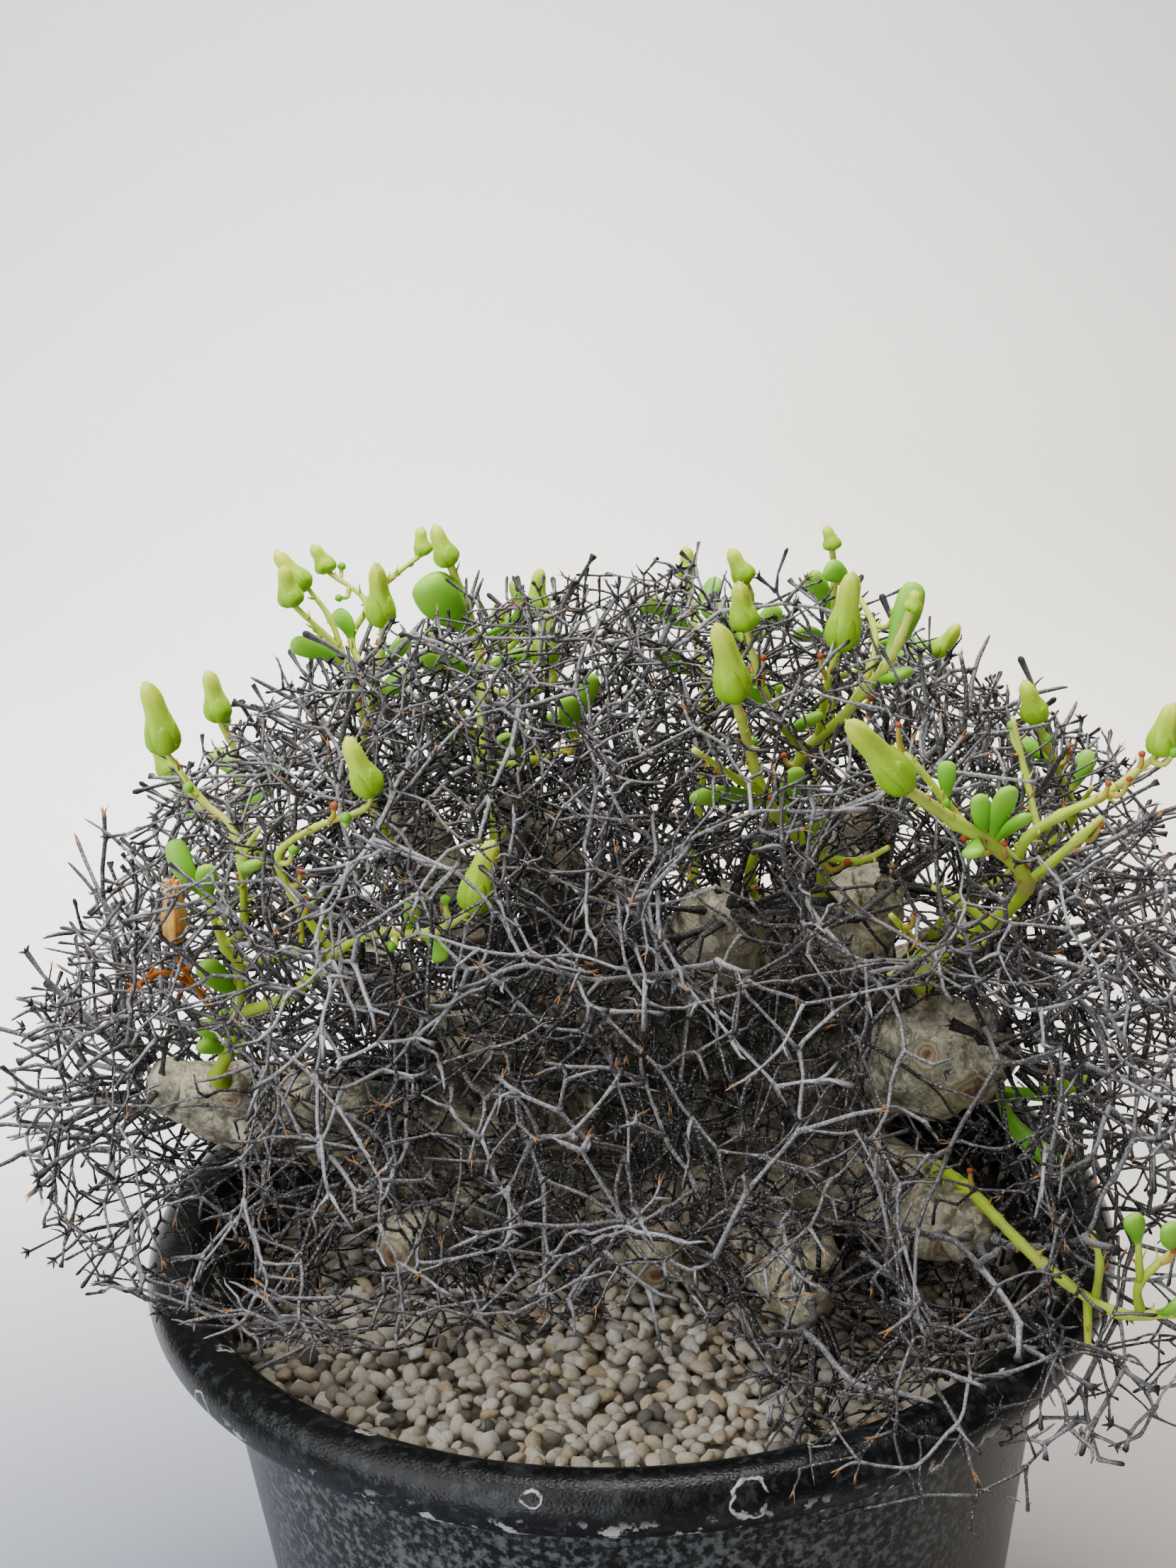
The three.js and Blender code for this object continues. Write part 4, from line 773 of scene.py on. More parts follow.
# %% Spray data
SPRAYS = {
    "spray_left": {
        "stub": ((-66, 5, 163), (-69, -4, 173)),
        "stems": [
            (1.5, (-67, -8, 180), (-64, -11, 188.5), (-62.6, -13, 198), (-64.2, -14, 202),
             (-66, -16, 212)),
            (0.9, (-64.2, -14, 202), (-60, -18, 208), (-60.4, -16, 222), (-65.5, -13, 227),
             (-71, -12, 235.5)),
            (0.8, (-60, -18, 208), (-58.6, -20, 219.5), (-55.3, -22, 225)),
            (1.3, (-64, -11, 188.5), (-54, -17, 194), (-45.5, -22, 203), (-39, -26, 208),
             (-29, -31, 209.6), (-22, -34, 214.5)),
            (0.9, (-45.5, -22, 203), (-50, -22, 211), (-53, -22, 220), (-46.5, -23, 225),
             (-38.5, -24, 228), (-37, -24, 231)),
            (0.8, (-62.6, -13, 198), (-53, -11, 199.5), (-51.8, -10, 205), (-48, -9, 209)),
        ],
        "buds": [((-72.5, -14, 247.5), 5.6), ((-18, -36, 226), 5.6), ((-40, -26, 240.5), 5)],
        "leaves": [
            ((-65.5, -11, 192), (-67.4, -18, 201), 4.6), ((-66, -9, 184), (-70, -13, 188), 4),
            ((-67, -8, 180), (-70.5, -12, 184), 4), ((-66, -15.5, 210.5), (-65, -18.5, 218), 3.6),
            ((-60, -19, 216), (-56.5, -25, 220), 3.8), ((-66, -16, 211), (-70.8, -14, 221), 4),
            ((-30.5, -30, 209.5), (-27.6, -32, 205), 3.2),
            ((-33, -29, 209.6), (-31, -29, 215.5), 3),
        ],
    },
    "spray_back_left": {
        "stub": ((-34, 42, 192), (-40, 35, 200)),
        "stems": [
            (1.3, (-45, 37, 214), (-44, 38, 223.5), (-41.6, 38, 230.3), (-39.9, 36, 236.7),
             (-39, 35, 243)),
            (1, (-44, 38, 223.5), (-46, 38, 234), (-49, 38, 239.5), (-55, 36, 247.2)),
            (0.8, (-46.6, 38, 235), (-49, 40.5, 243), (-53, 42, 249)),
            (0.9, (-41.6, 38, 230.3), (-46, 45, 237.5), (-43, 48, 244), (-50.3, 52, 249.5)),
            (0.8, (-43, 48, 244), (-38.4, 54, 247.2), (-32.3, 60, 250.5)),
        ],
        "buds": [((-39.1, 33, 254.6), 5.4), ((-55.9, 35, 254.4), 4.6), ((-58, 42, 255.8), 4.6),
                 ((-52.6, 52, 254.4), 4), ((-32.7, 60, 255.3), 3.6)],
        "leaves": [
            ((-46.5, 38, 235), (-56, 36, 240), 4), ((-46, 44.5, 237), (-48.8, 47, 243), 3.4),
            ((-40.6, 37, 234), (-34.7, 34, 241), 4), ((-43.5, 40, 226), (-35, 42, 232), 4),
        ],
    },
    "spray_top": {
        "stub": ((-13, 33, 197), (-19, 26, 204)),
        "stems": [
            (1.4, (-22.5, 29, 217), (-22, 37, 229), (-22.7, 40, 239), (-24.2, 39, 245),
             (-26.5, 38, 253)),
            (0.9, (-22, 37, 229), (-14, 33, 229.5), (-8.6, 30, 232.6), (-10.2, 28, 236.5)),
            (0.8, (-22.2, 38, 232), (-15.3, 46, 236), (-11.2, 46, 241)),
            (0.9, (-22.5, 29, 217), (-14, 22, 220), (-6, 17, 224), (-4.6, 16, 229)),
        ],
        "buds": [((-28.7, 38, 260), 4.6), ((-9.1, 28, 246.3), 5), ((-10.4, 46, 249.4), 4.4)],
        "leaves": [
            ((-23, 40, 239), (-31, 36, 251), 8.4),
            ((-22.2, 40, 238), (-14.5, 38, 242.5), (-15.4, 39, 249), 3.6),
            ((-22.3, 38, 232.5), (-33, 33, 237.5), 5), ((-21.5, 39, 233.5), (-12, 42, 234.5), 4.6),
            ((-5.4, 16.5, 225), (-6.2, 13, 234.2), 4), ((-4.6, 16, 228.5), (-2, 14, 237.6), 4),
            ((-15, 22.5, 219.8), (-18, 15, 227), 4),
        ],
    },
    "spray_centre": {
        "stub": ((40, 10, 190), (36, 1, 199)),
        "stems": [
            (1.4, (35, -3, 208.5), (30.5, -4, 213.5), (27, -10, 219), (24.8, -14, 224),
             (23.2, -16, 229), (20.7, -20, 239), (19.6, -22, 242.5)),
            (0.9, (35, -3, 208.5), (41, -7, 209), (45, -12, 213)),
            (0.9, (24.8, -14, 224), (20.2, -20, 228.5), (12.8, -30, 237)),
        ],
        "buds": [((16.9, -26, 255.5), 5.8)],
        "leaves": [
            ((25.8, -12.4, 221.5), (12.6, -26, 228.2), 4.6),
            ((28, -8, 217.5), (30, -14, 228), 4), ((32, -4, 211.6), (35, -11, 219), 3.4),
        ],
    },
    "spray_right_top": {
        "stub": ((31, 15, 178), (26, 19, 190)),
        "stems": [
            (1.4, (25, 18, 200), (30, 14, 213), (33.8, 10, 223), (36, 8, 226), (40, 4, 231),
             (43, 0, 236.4), (46, -3, 241.3), (48, -5, 246), (49.7, -6, 251.5)),
            (0.9, (33.8, 10, 223), (29.6, 2, 230), (26.2, -2, 237.2), (24.5, -2, 243.6),
             (23.4, -2, 248.6)),
            (0.9, (36, 8, 226), (37.2, 2, 238), (38.7, 0, 244)),
            (0.9, (40, 4, 231), (45, 8, 238), (46.4, 14, 243.6), (43.2, 21, 250)),
        ],
        "buds": [((40.5, -4, 257.4), 5.8), ((22.3, -4, 256.6), 4.8), ((50.1, -6, 254.4), 3)],
        "leaves": [
            ((46, -2.6, 241), (51.5, 1, 254), 4.8), ((43.4, -0.6, 237), (49.6, -6, 241), 4),
            ((28.2, -0.2, 233), (22, -1, 239.5), 4), ((30.6, 3.6, 228.4), (34.5, -5, 234), 4),
            ((43.4, 20.6, 249.6), (39, 20, 253), 4),
        ],
    },
    "spray_right_front": {
        "stub": ((50, 0, 171), (52, -7, 186)),
        "stems": [
            (1.8, (54, -9, 190), (57.5, -12, 195.5), (61, -16, 200), (65, -24, 210),
             (59.6, -28, 218), (52.4, -32, 224), (43.4, -39.5, 232.5)),
            (1.3, (57.5, -12, 195.5), (50.3, -18, 196.5), (42.2, -24, 195)),
            (0.9, (50.3, -18, 196.5), (43.6, -24, 206)),
            (1, (61, -16, 200), (56.4, -14, 204), (51.8, -14, 206.5)),
            (0.9, (54.8, -31, 222), (46.4, -30, 233), (43.5, -28, 235.3)),
            (1.2, (65, -24, 210), (73.4, -24, 217.6), (77.2, -22, 220)),
            (1.1, (62.7, -26, 213.2), (64.7, -26, 218.7), (69.9, -26, 222.2), (76.2, -24, 224),
             (81.9, -22, 227), (86.9, -20, 229.8)),
            (0.8, (66.2, -26, 220), (65.5, -20, 227), (63.7, -18, 236.2)),
        ],
        "buds": [((34, -46, 245.3), 5.8), ((88.2, -22, 238.2), 5)],
        "leaves": [
            ((58.4, -28.6, 219), (60.4, -33, 229.6), 4), ((58.8, -28, 219), (63.4, -33, 225), 3.4),
            ((57.5, -29, 220), (56, -31, 228), 3.2), ((56, -30, 221), (54, -37, 220.5), 3.6),
            ((51, -31, 226.6), (51.4, -29, 233), 3),
        ],
    },
    "spray_far_right": {
        "stub": ((55, 21.5, 175), (57, 13, 186)),
        "stems": [
            (1.2, (60, 11, 192), (75, 11, 202), (80.3, 10, 208.5), (78.7, 8, 214.3),
             (73.3, 2, 226), (71.4, 0, 230.4)),
            (0.8, (80.3, 10, 208.5), (82.6, 6, 215.5)),
        ],
        "buds": [((68.8, -2, 237.4), 4.6)],
        "leaves": [((79, 8.4, 213), (84, 12, 220), 3.6), ((75.4, 5, 221), (70, 8, 224), 3.4)],
    },
    "spray_rim": {
        "stub": ((47, -13, 147), (51, -20, 157)),
        "stems": [
            (1.4, (55, -30, 160), (64, -46, 155), (74, -52, 149.5), (83, -52, 149),
             (89, -51, 150)),
            (1, (78, -52, 149.2), (77.5, -53, 155), (83, -53, 161)),
            (0.9, (77.6, -53, 155), (76.6, -54.5, 163)),
            (0.9, (71, -51, 150.8), (72, -50, 157), (71, -49, 162)),
            (1, (69.4, -51, 151.2), (69.5, -54.5, 144)),
        ],
        "buds": [],
        "leaves": [
            ((83, -53, 160.6), (88.5, -53, 166), 3.6), ((82.4, -53, 160.4), (81, -56, 167), 3.6),
            ((76.8, -54.3, 162), (75, -56, 168.6), 3.4),
            ((88, -51.2, 149.6), (93.5, -51, 153.5), 3.6),
            ((80.5, -52, 149.4), (83, -57, 154.5), 3.4),
        ],
    },
    "leaves_right": {
        "stub": ((55, -3, 168), (63, 2.5, 162.5)),
        "stems": [(1.5, (66, 3, 161.2), (67.5, 2.5, 161))],
        "buds": [],
        "leaves": [
            ((66.4, 3, 161.6), (73.4, -2, 162), (81.2, -6, 167), 4.2),
            ((66.2, 2.6, 160.6), (69, -3, 155.4), (77, -11, 151.6), 4.4),
            ((66.6, 3.2, 161), (72, 6, 157.4), 3.4),
        ],
    },
    "spray_back_right": {
        "stub": ((46, 47.5, 190), (41, 53, 199)),
        "stems": [
            (1.2, (44, 57, 214), (44.5, 60, 230), (45.2, 58, 242), (44.5, 56, 248.6)),
            (0.9, (44.2, 58.5, 222), (53, 52, 226), (62, 44, 230)),
        ],
        "buds": [((43.2, 56, 252.6), 3.4), ((66, 42, 236), 4.4)],
        "leaves": [
            ((44.6, 60, 235), (40.4, 58, 243.4), 4.2), ((44.4, 59.6, 228.6), (37, 53, 233), 4),
            ((52, 52.6, 225.6), (53, 46, 233), 4), ((55, 50.4, 226.6), (62, 54, 230), 4),
        ],
    },
    "spray_back_top": {
        "stub": ((7, 32, 163), (14, 44, 178)),
        "stems": [
            (1.3, (17, 52, 192), (20, 60, 214), (19, 66, 230), (17.7, 70, 241)),
            (0.9, (20, 60, 214), (26, 53, 228), (28.6, 49, 240), (27.6, 48, 245)),
        ],
        "buds": [((17.6, 70, 247), 4.2), ((24.8, 48, 251), 4.4)],
        "leaves": [
            ((18.8, 66.4, 231), (8.6, 62, 238.4), 5), ((26.8, 51.6, 231), (34, 53, 238.4), 4.4),
            ((27, 51.4, 232), (20, 55, 239.6), 4.6), ((19.6, 63, 223), (11, 58, 230), 4.6),
            ((18.4, 67.6, 235), (24, 72, 240), 4),
        ],
    },
    "spray_back": {
        "stub": ((3, 64, 162), (-6, 70, 173)),
        "stems": [
            (1.3, (-11, 76, 181), (-18, 84, 196), (-16, 86, 214), (-19, 84, 224)),
            (0.9, (-18, 84, 196), (-27, 83, 208), (-31, 80, 222)),
        ],
        "buds": [((-20, 82, 235), 5.2), ((-34, 78, 232), 5)],
        "leaves": [
            ((-17.4, 84.4, 203), (-8, 84, 210), 4.6), ((-25, 83.2, 205.6), (-34, 84, 209), 4.4),
            ((-16.4, 85.8, 212), (-10, 80, 220), 4.2),
        ],
    },
    "spray_far_left": {
        "stub": ((-45, 55, 161), (-51, 50, 172)),
        "stems": [
            (1.3, (-56, 49, 181), (-69, 51, 196), (-70, 52, 212), (-73, 51, 222)),
            (0.9, (-71, 52, 198), (-79, 47, 206), (-82, 45, 213)),
        ],
        "buds": [((-74, 50, 232), 5.2), ((-84, 44, 221), 4.6)],
        "leaves": [
            ((-70.6, 52, 203), (-64, 56, 211), 4.4), ((-70.4, 52, 208), (-76, 57, 214), 4),
            ((-75, 49.6, 202), (-82, 52, 205), 4),
        ],
    },
}
print("sprays:", len(SPRAYS), "buds:", sum(len(s["buds"]) for s in SPRAYS.values()),
      "leaves:", sum(len(s["leaves"]) for s in SPRAYS.values()))

# %% [markdown]
# A bud is a closed corolla tube with five soft ribs, held by a calyx of five pointed sepals that
# hug its lower part. The tube is one line with a lobed ring carried along it. Each sepal is a thin
# plate bent round the tube, thick in the middle and pointed at the end. Short glandular hairs stand
# all over buds and young stems: they soften the outline, so they are modelled, as slim spikes.

# %% Buds, leaves and hairs
HAIR = {"radius": 0.045, "sunk": 0.06, "shift": 0.12, "lean": 0.28}
BUD_SHAPE = [(0, 0.3), (0.05, 0.66), (0.12, 0.9), (0.22, 0.98), (0.33, 0.92), (0.43, 0.78),
             (0.53, 0.67), (0.65, 0.62), (0.77, 0.6), (0.87, 0.5), (0.94, 0.34), (1, 0.06)]
SEPAL = {"count": 5, "reach": 0.46, "stand": 0.12, "thick": 0.5}


def stand_hairs(clay, points, outward, rng, count, length, finish, **paint):
    chosen = rng.integers(0, len(points), count)
    lean = outward[chosen] + rng.normal(0, HAIR["lean"], (count, 3))
    for i, way in zip(chosen, lean):
        way = unit(way)
        side = unit(np.cross(way, (0.3, 0.5, 0.8)))
        foot = points[i] - way * HAIR["sunk"] + side * rng.normal(0, HAIR["shift"])
        ring = [foot + HAIR["radius"] * spun(way, side, a) for a in (0, 2.1, 4.2)]
        clay.add([*ring, foot + way * length * rng.uniform(0.6, 1.2)],
                 [[0, 1, 3], [1, 2, 3], [2, 0, 3], [2, 1, 0]], finish, **paint)


def make_bud(clay, foot, tip, width, rng):
    foot, tip = np.array(foot, float), np.array(tip, float)
    t = np.concatenate([np.linspace(0, 0.9, 17), [0.93, 0.96, 0.985, 1.0]])
    turn = rng.uniform(0, 2 * math.pi)
    axis = unit(tip - foot)
    bend = unit(np.cross(axis, rng.normal(size=3))) * width * 0.1
    line = foot + (tip - foot) * t[:, None] + bend * np.sin(t * math.pi)[:, None]
    ribs = lambda at, angle: 1 + (0.05 + 0.05 * at) * np.cos(5 * (angle - turn + 0.8 * at ** 3))
    points, faces = tube(line, profile(BUD_SHAPE, t) * width / 2, 20, lobes=ribs)
    along = np.repeat(t, 20)
    clay.add(points, faces, BUD, along=0.25 + 0.75 * along)
    outward = points - np.repeat(line, 20, 0)
    outward /= np.linalg.norm(outward, axis=1, keepdims=True) + 1e-9
    stand_hairs(clay, points, outward, rng, 150, 0.6, BUD, along=1.0)
    _, frames = rings_along(line)
    for k in range(SEPAL["count"]):
        middle = turn + (k + 0.5) * 2 * math.pi / SEPAL["count"]
        lay_sepal(clay, line, frames, t, middle, width, rng)


def lay_sepal(clay, line, frames, t, middle, width, rng):
    rows, across = np.linspace(0, 1, 7), np.linspace(-1, 1, 7)
    reach = SEPAL["reach"] * rng.uniform(0.88, 1.12)
    sheet = []
    for lift in (0, 1):
        for v in rows:
            at = v * reach
            radius = profile(BUD_SHAPE, at) * width / 2
            half = 0.72 * (1 - v ** 2.2) ** 0.75 + 0.015
            point = np.array([np.interp(at, t, line[:, a]) for a in range(3)])
            row = int(np.argmin(np.abs(t - at)))
            for u in across:
                angle = middle + u * half
                out = (SEPAL["stand"] + SEPAL["thick"] * (1 - u * u) * (1 - v)) * lift - 0.12
                out += 0.12 * width * max(0.0, v - 0.75)
                sheet.append(point + (radius + out) * (math.cos(angle) * frames[row, 0]
                                                      + math.sin(angle) * frames[row, 1]))
    n, m = len(rows), len(across)
    under, over = np.arange(n * m).reshape(n, m), np.arange(n * m, 2 * n * m).reshape(n, m)
    faces = [[over[i, j], over[i, j + 1], over[i + 1, j + 1], over[i + 1, j]]
             for i in range(n - 1) for j in range(m - 1)]
    faces += [[under[i, j], under[i + 1, j], under[i + 1, j + 1], under[i, j + 1]]
              for i in range(n - 1) for j in range(m - 1)]
    edge = ([(0, j) for j in range(m)] + [(i, m - 1) for i in range(1, n)]
            + [(n - 1, j) for j in range(m - 2, -1, -1)] + [(i, 0) for i in range(n - 2, 0, -1)])
    for a, b in zip(edge, edge[1:] + edge[:1]):
        faces.append([under[a], under[b], over[b], over[a]])
    clay.add(sheet, faces, BUD, along=np.tile(np.repeat(rows * 0.35, m), 2))


LEAF_SHAPE = [(0, 0.22), (0.1, 0.32), (0.25, 0.52), (0.45, 0.82), (0.64, 1.0), (0.8, 0.99),
              (0.91, 0.86), (0.965, 0.64), (0.992, 0.34), (1, 0.08)]


def make_leaf(clay, line, width, rng):
    points = [np.array(p, float) for p in line]
    axis = unit(points[-1] - points[0])
    if len(points) == 2:
        sag = np.cross(axis, unit(np.cross(axis, (0.2, 0.4, 1)))) * rng.uniform(-0.9, 0.9)
        points.insert(1, (points[0] + points[1]) / 2 + sag)
    coarse = smooth_line(points, 0.4)
    t = np.concatenate([np.linspace(0, 0.9, 15), [0.94, 0.97, 0.99, 1.0]])
    at = np.linspace(0, 1, len(coarse))
    path = np.stack([np.interp(t, at, coarse[:, a]) for a in range(3)], -1)
    groove = lambda v, angle: 1 - 0.1 * np.exp(-((np.sin(angle) - 1) / 0.12) ** 2) * np.sin(
        v * math.pi)
    surface, faces = tube(path, profile(LEAF_SHAPE, t) * width / 2, 14, 0.56, groove,
                          (0.9, 0.1, 0.3))
    clay.add(surface, faces, LEAF, along=np.repeat(t, 14))

# %% [markdown]
# A spray is a main stem with side stems. Each side stem starts inside the stem that bears it, and
# each bud goes to the nearest stem end that is still free. Bracts stand all along, most of them
# green and some dried to a rusty tip. Short spurs end in a rusty knob, where a flower fell off,
# or in a green ball, a bud to come.

# %% Sprays
GROWTH = {"second bract": 0.4, "dried bract": 0.4, "spur": 0.17, "dead spur": 0.55}


def nearest(p, paths):
    best = None
    for path in paths:
        for a, b in zip(path, path[1:]):
            t = np.clip((p - a) @ (b - a) / max((b - a) @ (b - a), 1e-9), 0, 1)
            q = a + t * (b - a)
            if best is None or np.linalg.norm(q - p) < np.linalg.norm(best - p):
                best = q
    return best


def make_bract(clay, at, way, size, dry):
    line = smooth_line([at, at + way * size * 0.5, at + way * size + [0, 0, 0.2 * size]], 0.8)
    points, faces = tube(line, np.linspace(0.5, 0.1, len(line)), 4, 0.6)
    clay.add(points, faces, STEM, along=0.8, dry=np.linspace(dry * 0.4, dry, len(points)))


def make_spur(clay, at, way, rng):
    reach = rng.uniform(2.2, 5.0)
    line = smooth_line([at, at + way * reach * 0.5, at + unit(way + [0, 0, 0.7]) * reach], 0.6)
    points, faces = tube(line, np.linspace(0.55, 0.36, len(line)), 7)
    dead = float(rng.random() < GROWTH["dead spur"])
    clay.add(points, faces, STEM, along=0.9, dry=dead * 0.5)
    points, faces = ball(2)
    size = rng.uniform(0.5, 0.7) if dead else rng.uniform(0.75, 1.05)
    lumps = [1 + 0.2 * noise.noise(Vector(p * 2 + at)) for p in points]
    clay.add(line[-1] + points * np.array(lumps)[:, None] * size, faces, STEM if dead else LEAF,
             along=0.6, dry=dead)


def make_spray(name, data, seed):
    rng = np.random.default_rng(seed)
    clay, paths = Clay(), []
    base, cap = (np.array(p, float) for p in data["stub"])
    foot = unit(cap - base)
    for i, (_, *points) in enumerate(data["stems"]):
        points = [np.array(p, float) for p in points]
        if i == 0:
            points = [cap + foot * 0.1, cap + foot * 2.2, *points]
        else:
            points[0] = nearest(points[0], paths)
        paths.append(points)
    for i, (points, (radius, *_)) in enumerate(zip(paths, data["stems"])):
        line = smooth_line(points, 1.3)
        t = np.linspace(0, 1, len(line))
        thick = radius * (1 - 0.36 * t) * 0.8
        if i == 0:
            thick *= 1 + 0.8 * np.exp(-np.linalg.norm(line - line[0], axis=1) / 1.6)
        for kink in points[1:-1]:
            thick *= 1 + 0.3 * np.exp(-(np.linalg.norm(line - kink, axis=1) / 1.0) ** 2)
        thick *= 1 + 0.18 * np.array([noise.noise(Vector(p / 1.4)) for p in line])
        skin, faces = tube(line, thick, 9)
        clay.add(skin, faces, STEM, along=np.repeat(0.2 + 0.8 * t, 9))
        outward = skin - np.repeat(line, 9, 0)
        outward /= np.linalg.norm(outward, axis=1, keepdims=True)
        stand_hairs(clay, skin, outward, rng, int(len(line) * 2.4), 0.38, STEM, along=0.95)
        for k in range(3, len(line) - 2, 2):
            for _ in range(1 + (rng.random() < GROWTH["second bract"])):
                way = unit(rng.normal(size=3) + unit(line[k + 1] - line[k]) * 0.9)
                make_bract(clay, line[k] + way * thick[k] * 0.5, way, rng.uniform(0.9, 2.4),
                           float(rng.random() < GROWTH["dried bract"]))
            if rng.random() < GROWTH["spur"] and k > 5:
                way = unit(rng.normal(size=3) + unit(line[k + 1] - line[k]) * 0.6)
                make_spur(clay, line[k] + way * thick[k] * 0.4, way, rng)
    pairs = sorted((float(np.linalg.norm(path[-1] - np.array(tip))), k, b)
                   for k, path in enumerate(paths) for b, (tip, _) in enumerate(data["buds"]))
    borne, used = set(), set()
    for _, k, b in pairs:
        if k not in used and b not in borne:
            used.add(k)
            borne.add(b)
            tip, end = np.array(data["buds"][b][0], float), paths[k][-1]
            make_bud(clay, end - unit(tip - end) * 0.5, tip, data["buds"][b][1], rng)
    for *line, width in data["leaves"]:
        line = [np.array(p, float) for p in line]
        line[0] = nearest(line[0], paths)
        make_leaf(clay, line, width, rng)
    clay.piece(name + "_green", greens, "green", [name])


for i, (name, data) in enumerate(SPRAYS.items()):
    make_spray(name, data, 500 + i)
print("greens:", sum(triangles[name + "_green"] for name in SPRAYS), "triangles")

# %% [markdown]
# One flower has dried on its stalk: a papery urn of five fused petals, pale orange with thin brown
# ribs, closed by a tuft of shrivelled petal ends, on rusty stalks with withered bracts. Dry plant
# skin is thin and rough, so the finish is matt with a crumpled bump, and the ribs are painted from
# the lobes of the shape. A cloth solver could crumple the petals; a few bent strips look as dry.

# %% Dried flower
DRIED = {"stalk": ((-68, -13.2, 191), (-71, -18, 201), (-71.3, -19, 205.4)), "radius": 0.42,
         "twig": ((-69.6, -15.8, 196), (-74, -20, 200.5), (-79.2, -22, 198.2)),
         "urn": ((-71.4, -19, 205), (-70.1, -21.4, 215.4)), "width": 4.3}
URN_SHAPE = [(0, 0.3), (0.04, 0.56), (0.14, 0.84), (0.34, 1.0), (0.56, 0.94), (0.72, 0.76),
             (0.86, 0.62), (0.95, 0.56), (1.0, 0.4)]


def papery_petal():
    material, tree, shader, place = begin("dry_papery_petal", 0.78, 1.45)
    tone = ramp(tree, painted(tree, "along"),
                [(0.0, "#B04C12"), (0.3, "#D47C26"), (0.6, "#F8AC48"), (1.0, "#FFDC84")])
    crumple = cloud(tree, place, 1.2, 5)
    skin = mix(tree, 1.0, tone, between(tree, crumple, 0.3, 0.7, 0.72, 1.1), "MULTIPLY")
    wear(tree, shader, skin, dent(tree, crumple, 0.7, 0.3))
    return material


def make_dried():
    rng, clay = np.random.default_rng(71), Clay()
    for part in ("stalk", "twig"):
        line = smooth_line(DRIED[part], 0.8)
        thick = DRIED["radius"] * (1 + 0.25 * np.sin(np.arange(len(line)) * 1.7))
        points, faces = tube(line, thick, 7)
        clay.add(points, faces, along=0.25)
        for k in range(1, len(line) - 1, 3):
            way = unit(rng.normal(size=3))
            barb, sides = tube([line[k], line[k] + way * 1.6, line[k] + way * rng.uniform(2.4, 4)],
                               [0.3, 0.22, 0.08], 4)
            clay.add(barb, sides, along=0.12)
    foot, mouth = (np.array(p, float) for p in DRIED["urn"])
    t = np.linspace(0, 1, 26)
    line = foot + (mouth - foot) * t[:, None]
    sides = 50
    lobes = lambda at, angle: 1 + 0.09 * np.cos(5 * angle) + 0.04 * at * np.cos(15 * angle + 5 * at)
    skin, faces = tube(line, profile(URN_SHAPE, t) * DRIED["width"] / 2, sides, lobes=lobes)
    angle = np.arange(sides) * 2 * math.pi / sides
    rib = 0.7 - 0.5 * np.exp(-((1 - np.cos(5 * angle)) / 0.2) ** 2)
    clay.add(skin, faces, along=(rib + 0.2 * t[:, None]).ravel())
    axis = unit(mouth - foot)
    side = unit(np.cross(axis, (0.2, 0.9, 0.4)))
    for a in np.arange(5) * 2 * math.pi / 5:
        out = spun(axis, side, a)
        sepal, sides = tube([foot, foot + out * 0.9 + axis * 0.3, foot + out * 1.5 + axis * 0.9],
                            [0.4, 0.34, 0.08], 6)
        clay.add(sepal, sides, along=0.1)
    for k in range(13):
        out = spun(axis, side, k * 2 * math.pi / 13 + rng.normal(0, 0.2))
        start = mouth - axis * 0.7 + out * rng.uniform(0.2, 0.9)
        bend = [start, start + axis * 0.8 + out * 0.4,
                start + axis * rng.uniform(0.9, 2) + out * rng.uniform(0.4, 1.3),
                start + axis * rng.uniform(0.4, 2.4) + out * rng.uniform(0.6, 1.5)]
        bend = smooth_line(bend, 0.3)
        shred, sides = tube(bend, np.linspace(0.6, 0.22, len(bend)), 8, 0.4)
        clay.add(shred + rng.normal(0, 0.07, shred.shape), sides, along=rng.uniform(0.7, 1))
    clay.piece("dried_flower_urn", [papery_petal()], "dried_flower", ["dried_flower"])


make_dried()

# %% [markdown]
# The dry flower stalks are the plant's fence. At each fork the stalk runs on, 14 to 36 degrees off
# its line, and a thinner side twig leaves it at 40 to 68 degrees. A twig is 6 to 19 mm long and
# 1.2 to 0.5 mm thick, less with each fork. The CAD net has few forks, so it is grown on from
# here, by a rule: the fork with the most room around it splits next. Branching curves with a
# bevel would cross each other; a grid of small cells remembers what is taken, so these don't.
# The outline is the CAD source's dome, which leaves the gravel open at the front left. Slim
# clearings before the limbs, where twigs have broken away and bark shows, stay nearly empty.

# %% Space for the net
DOME = {"centre": (3, 14, 150), "radii": (119, 106, 108), "waist": 166, "floor": 129.5}
CELL, COARSE = 1.35, 8.0
CORNER, SPACE = np.array([-125.0, -125.0, 100.0]), np.array([255.0, 255.0, 170.0])
taken = np.zeros((SPACE / CELL).astype(int), bool)
crowd = np.zeros((SPACE / COARSE).astype(int) + 2, np.int32)
box_low = np.array([c / MM for c in cad_box[0]]) + 1.6
box_high = np.array([c / MM for c in cad_box[1]]) - 1.6


def uneven(points, size):
    x, y, z = points.T / size
    return (np.sin(x + 1.7 * np.sin(0.8 * y + 1)) + np.sin(1.3 * y + 1.4 * np.sin(0.9 * z))
            + np.sin(1.1 * z + 1.5 * np.sin(0.7 * x + 2))) / 3


THIN = [((57, -8, 168), (47, -61, 194), 14), ((46, 4, 199), (39, -46, 220), 11),
        ((20, -8, 201), (16, -58, 222), 10), ((29, -31, 143), (26, -70, 163), 11),
        ((4, -12, 136), (3, -60, 160), 9), ((-44, -1, 136), (-40, -50, 160), 9),
        ((56, -24, 149), (49, -70, 172), 11), ((-75, 2, 168), (-66, -48, 192), 10)]


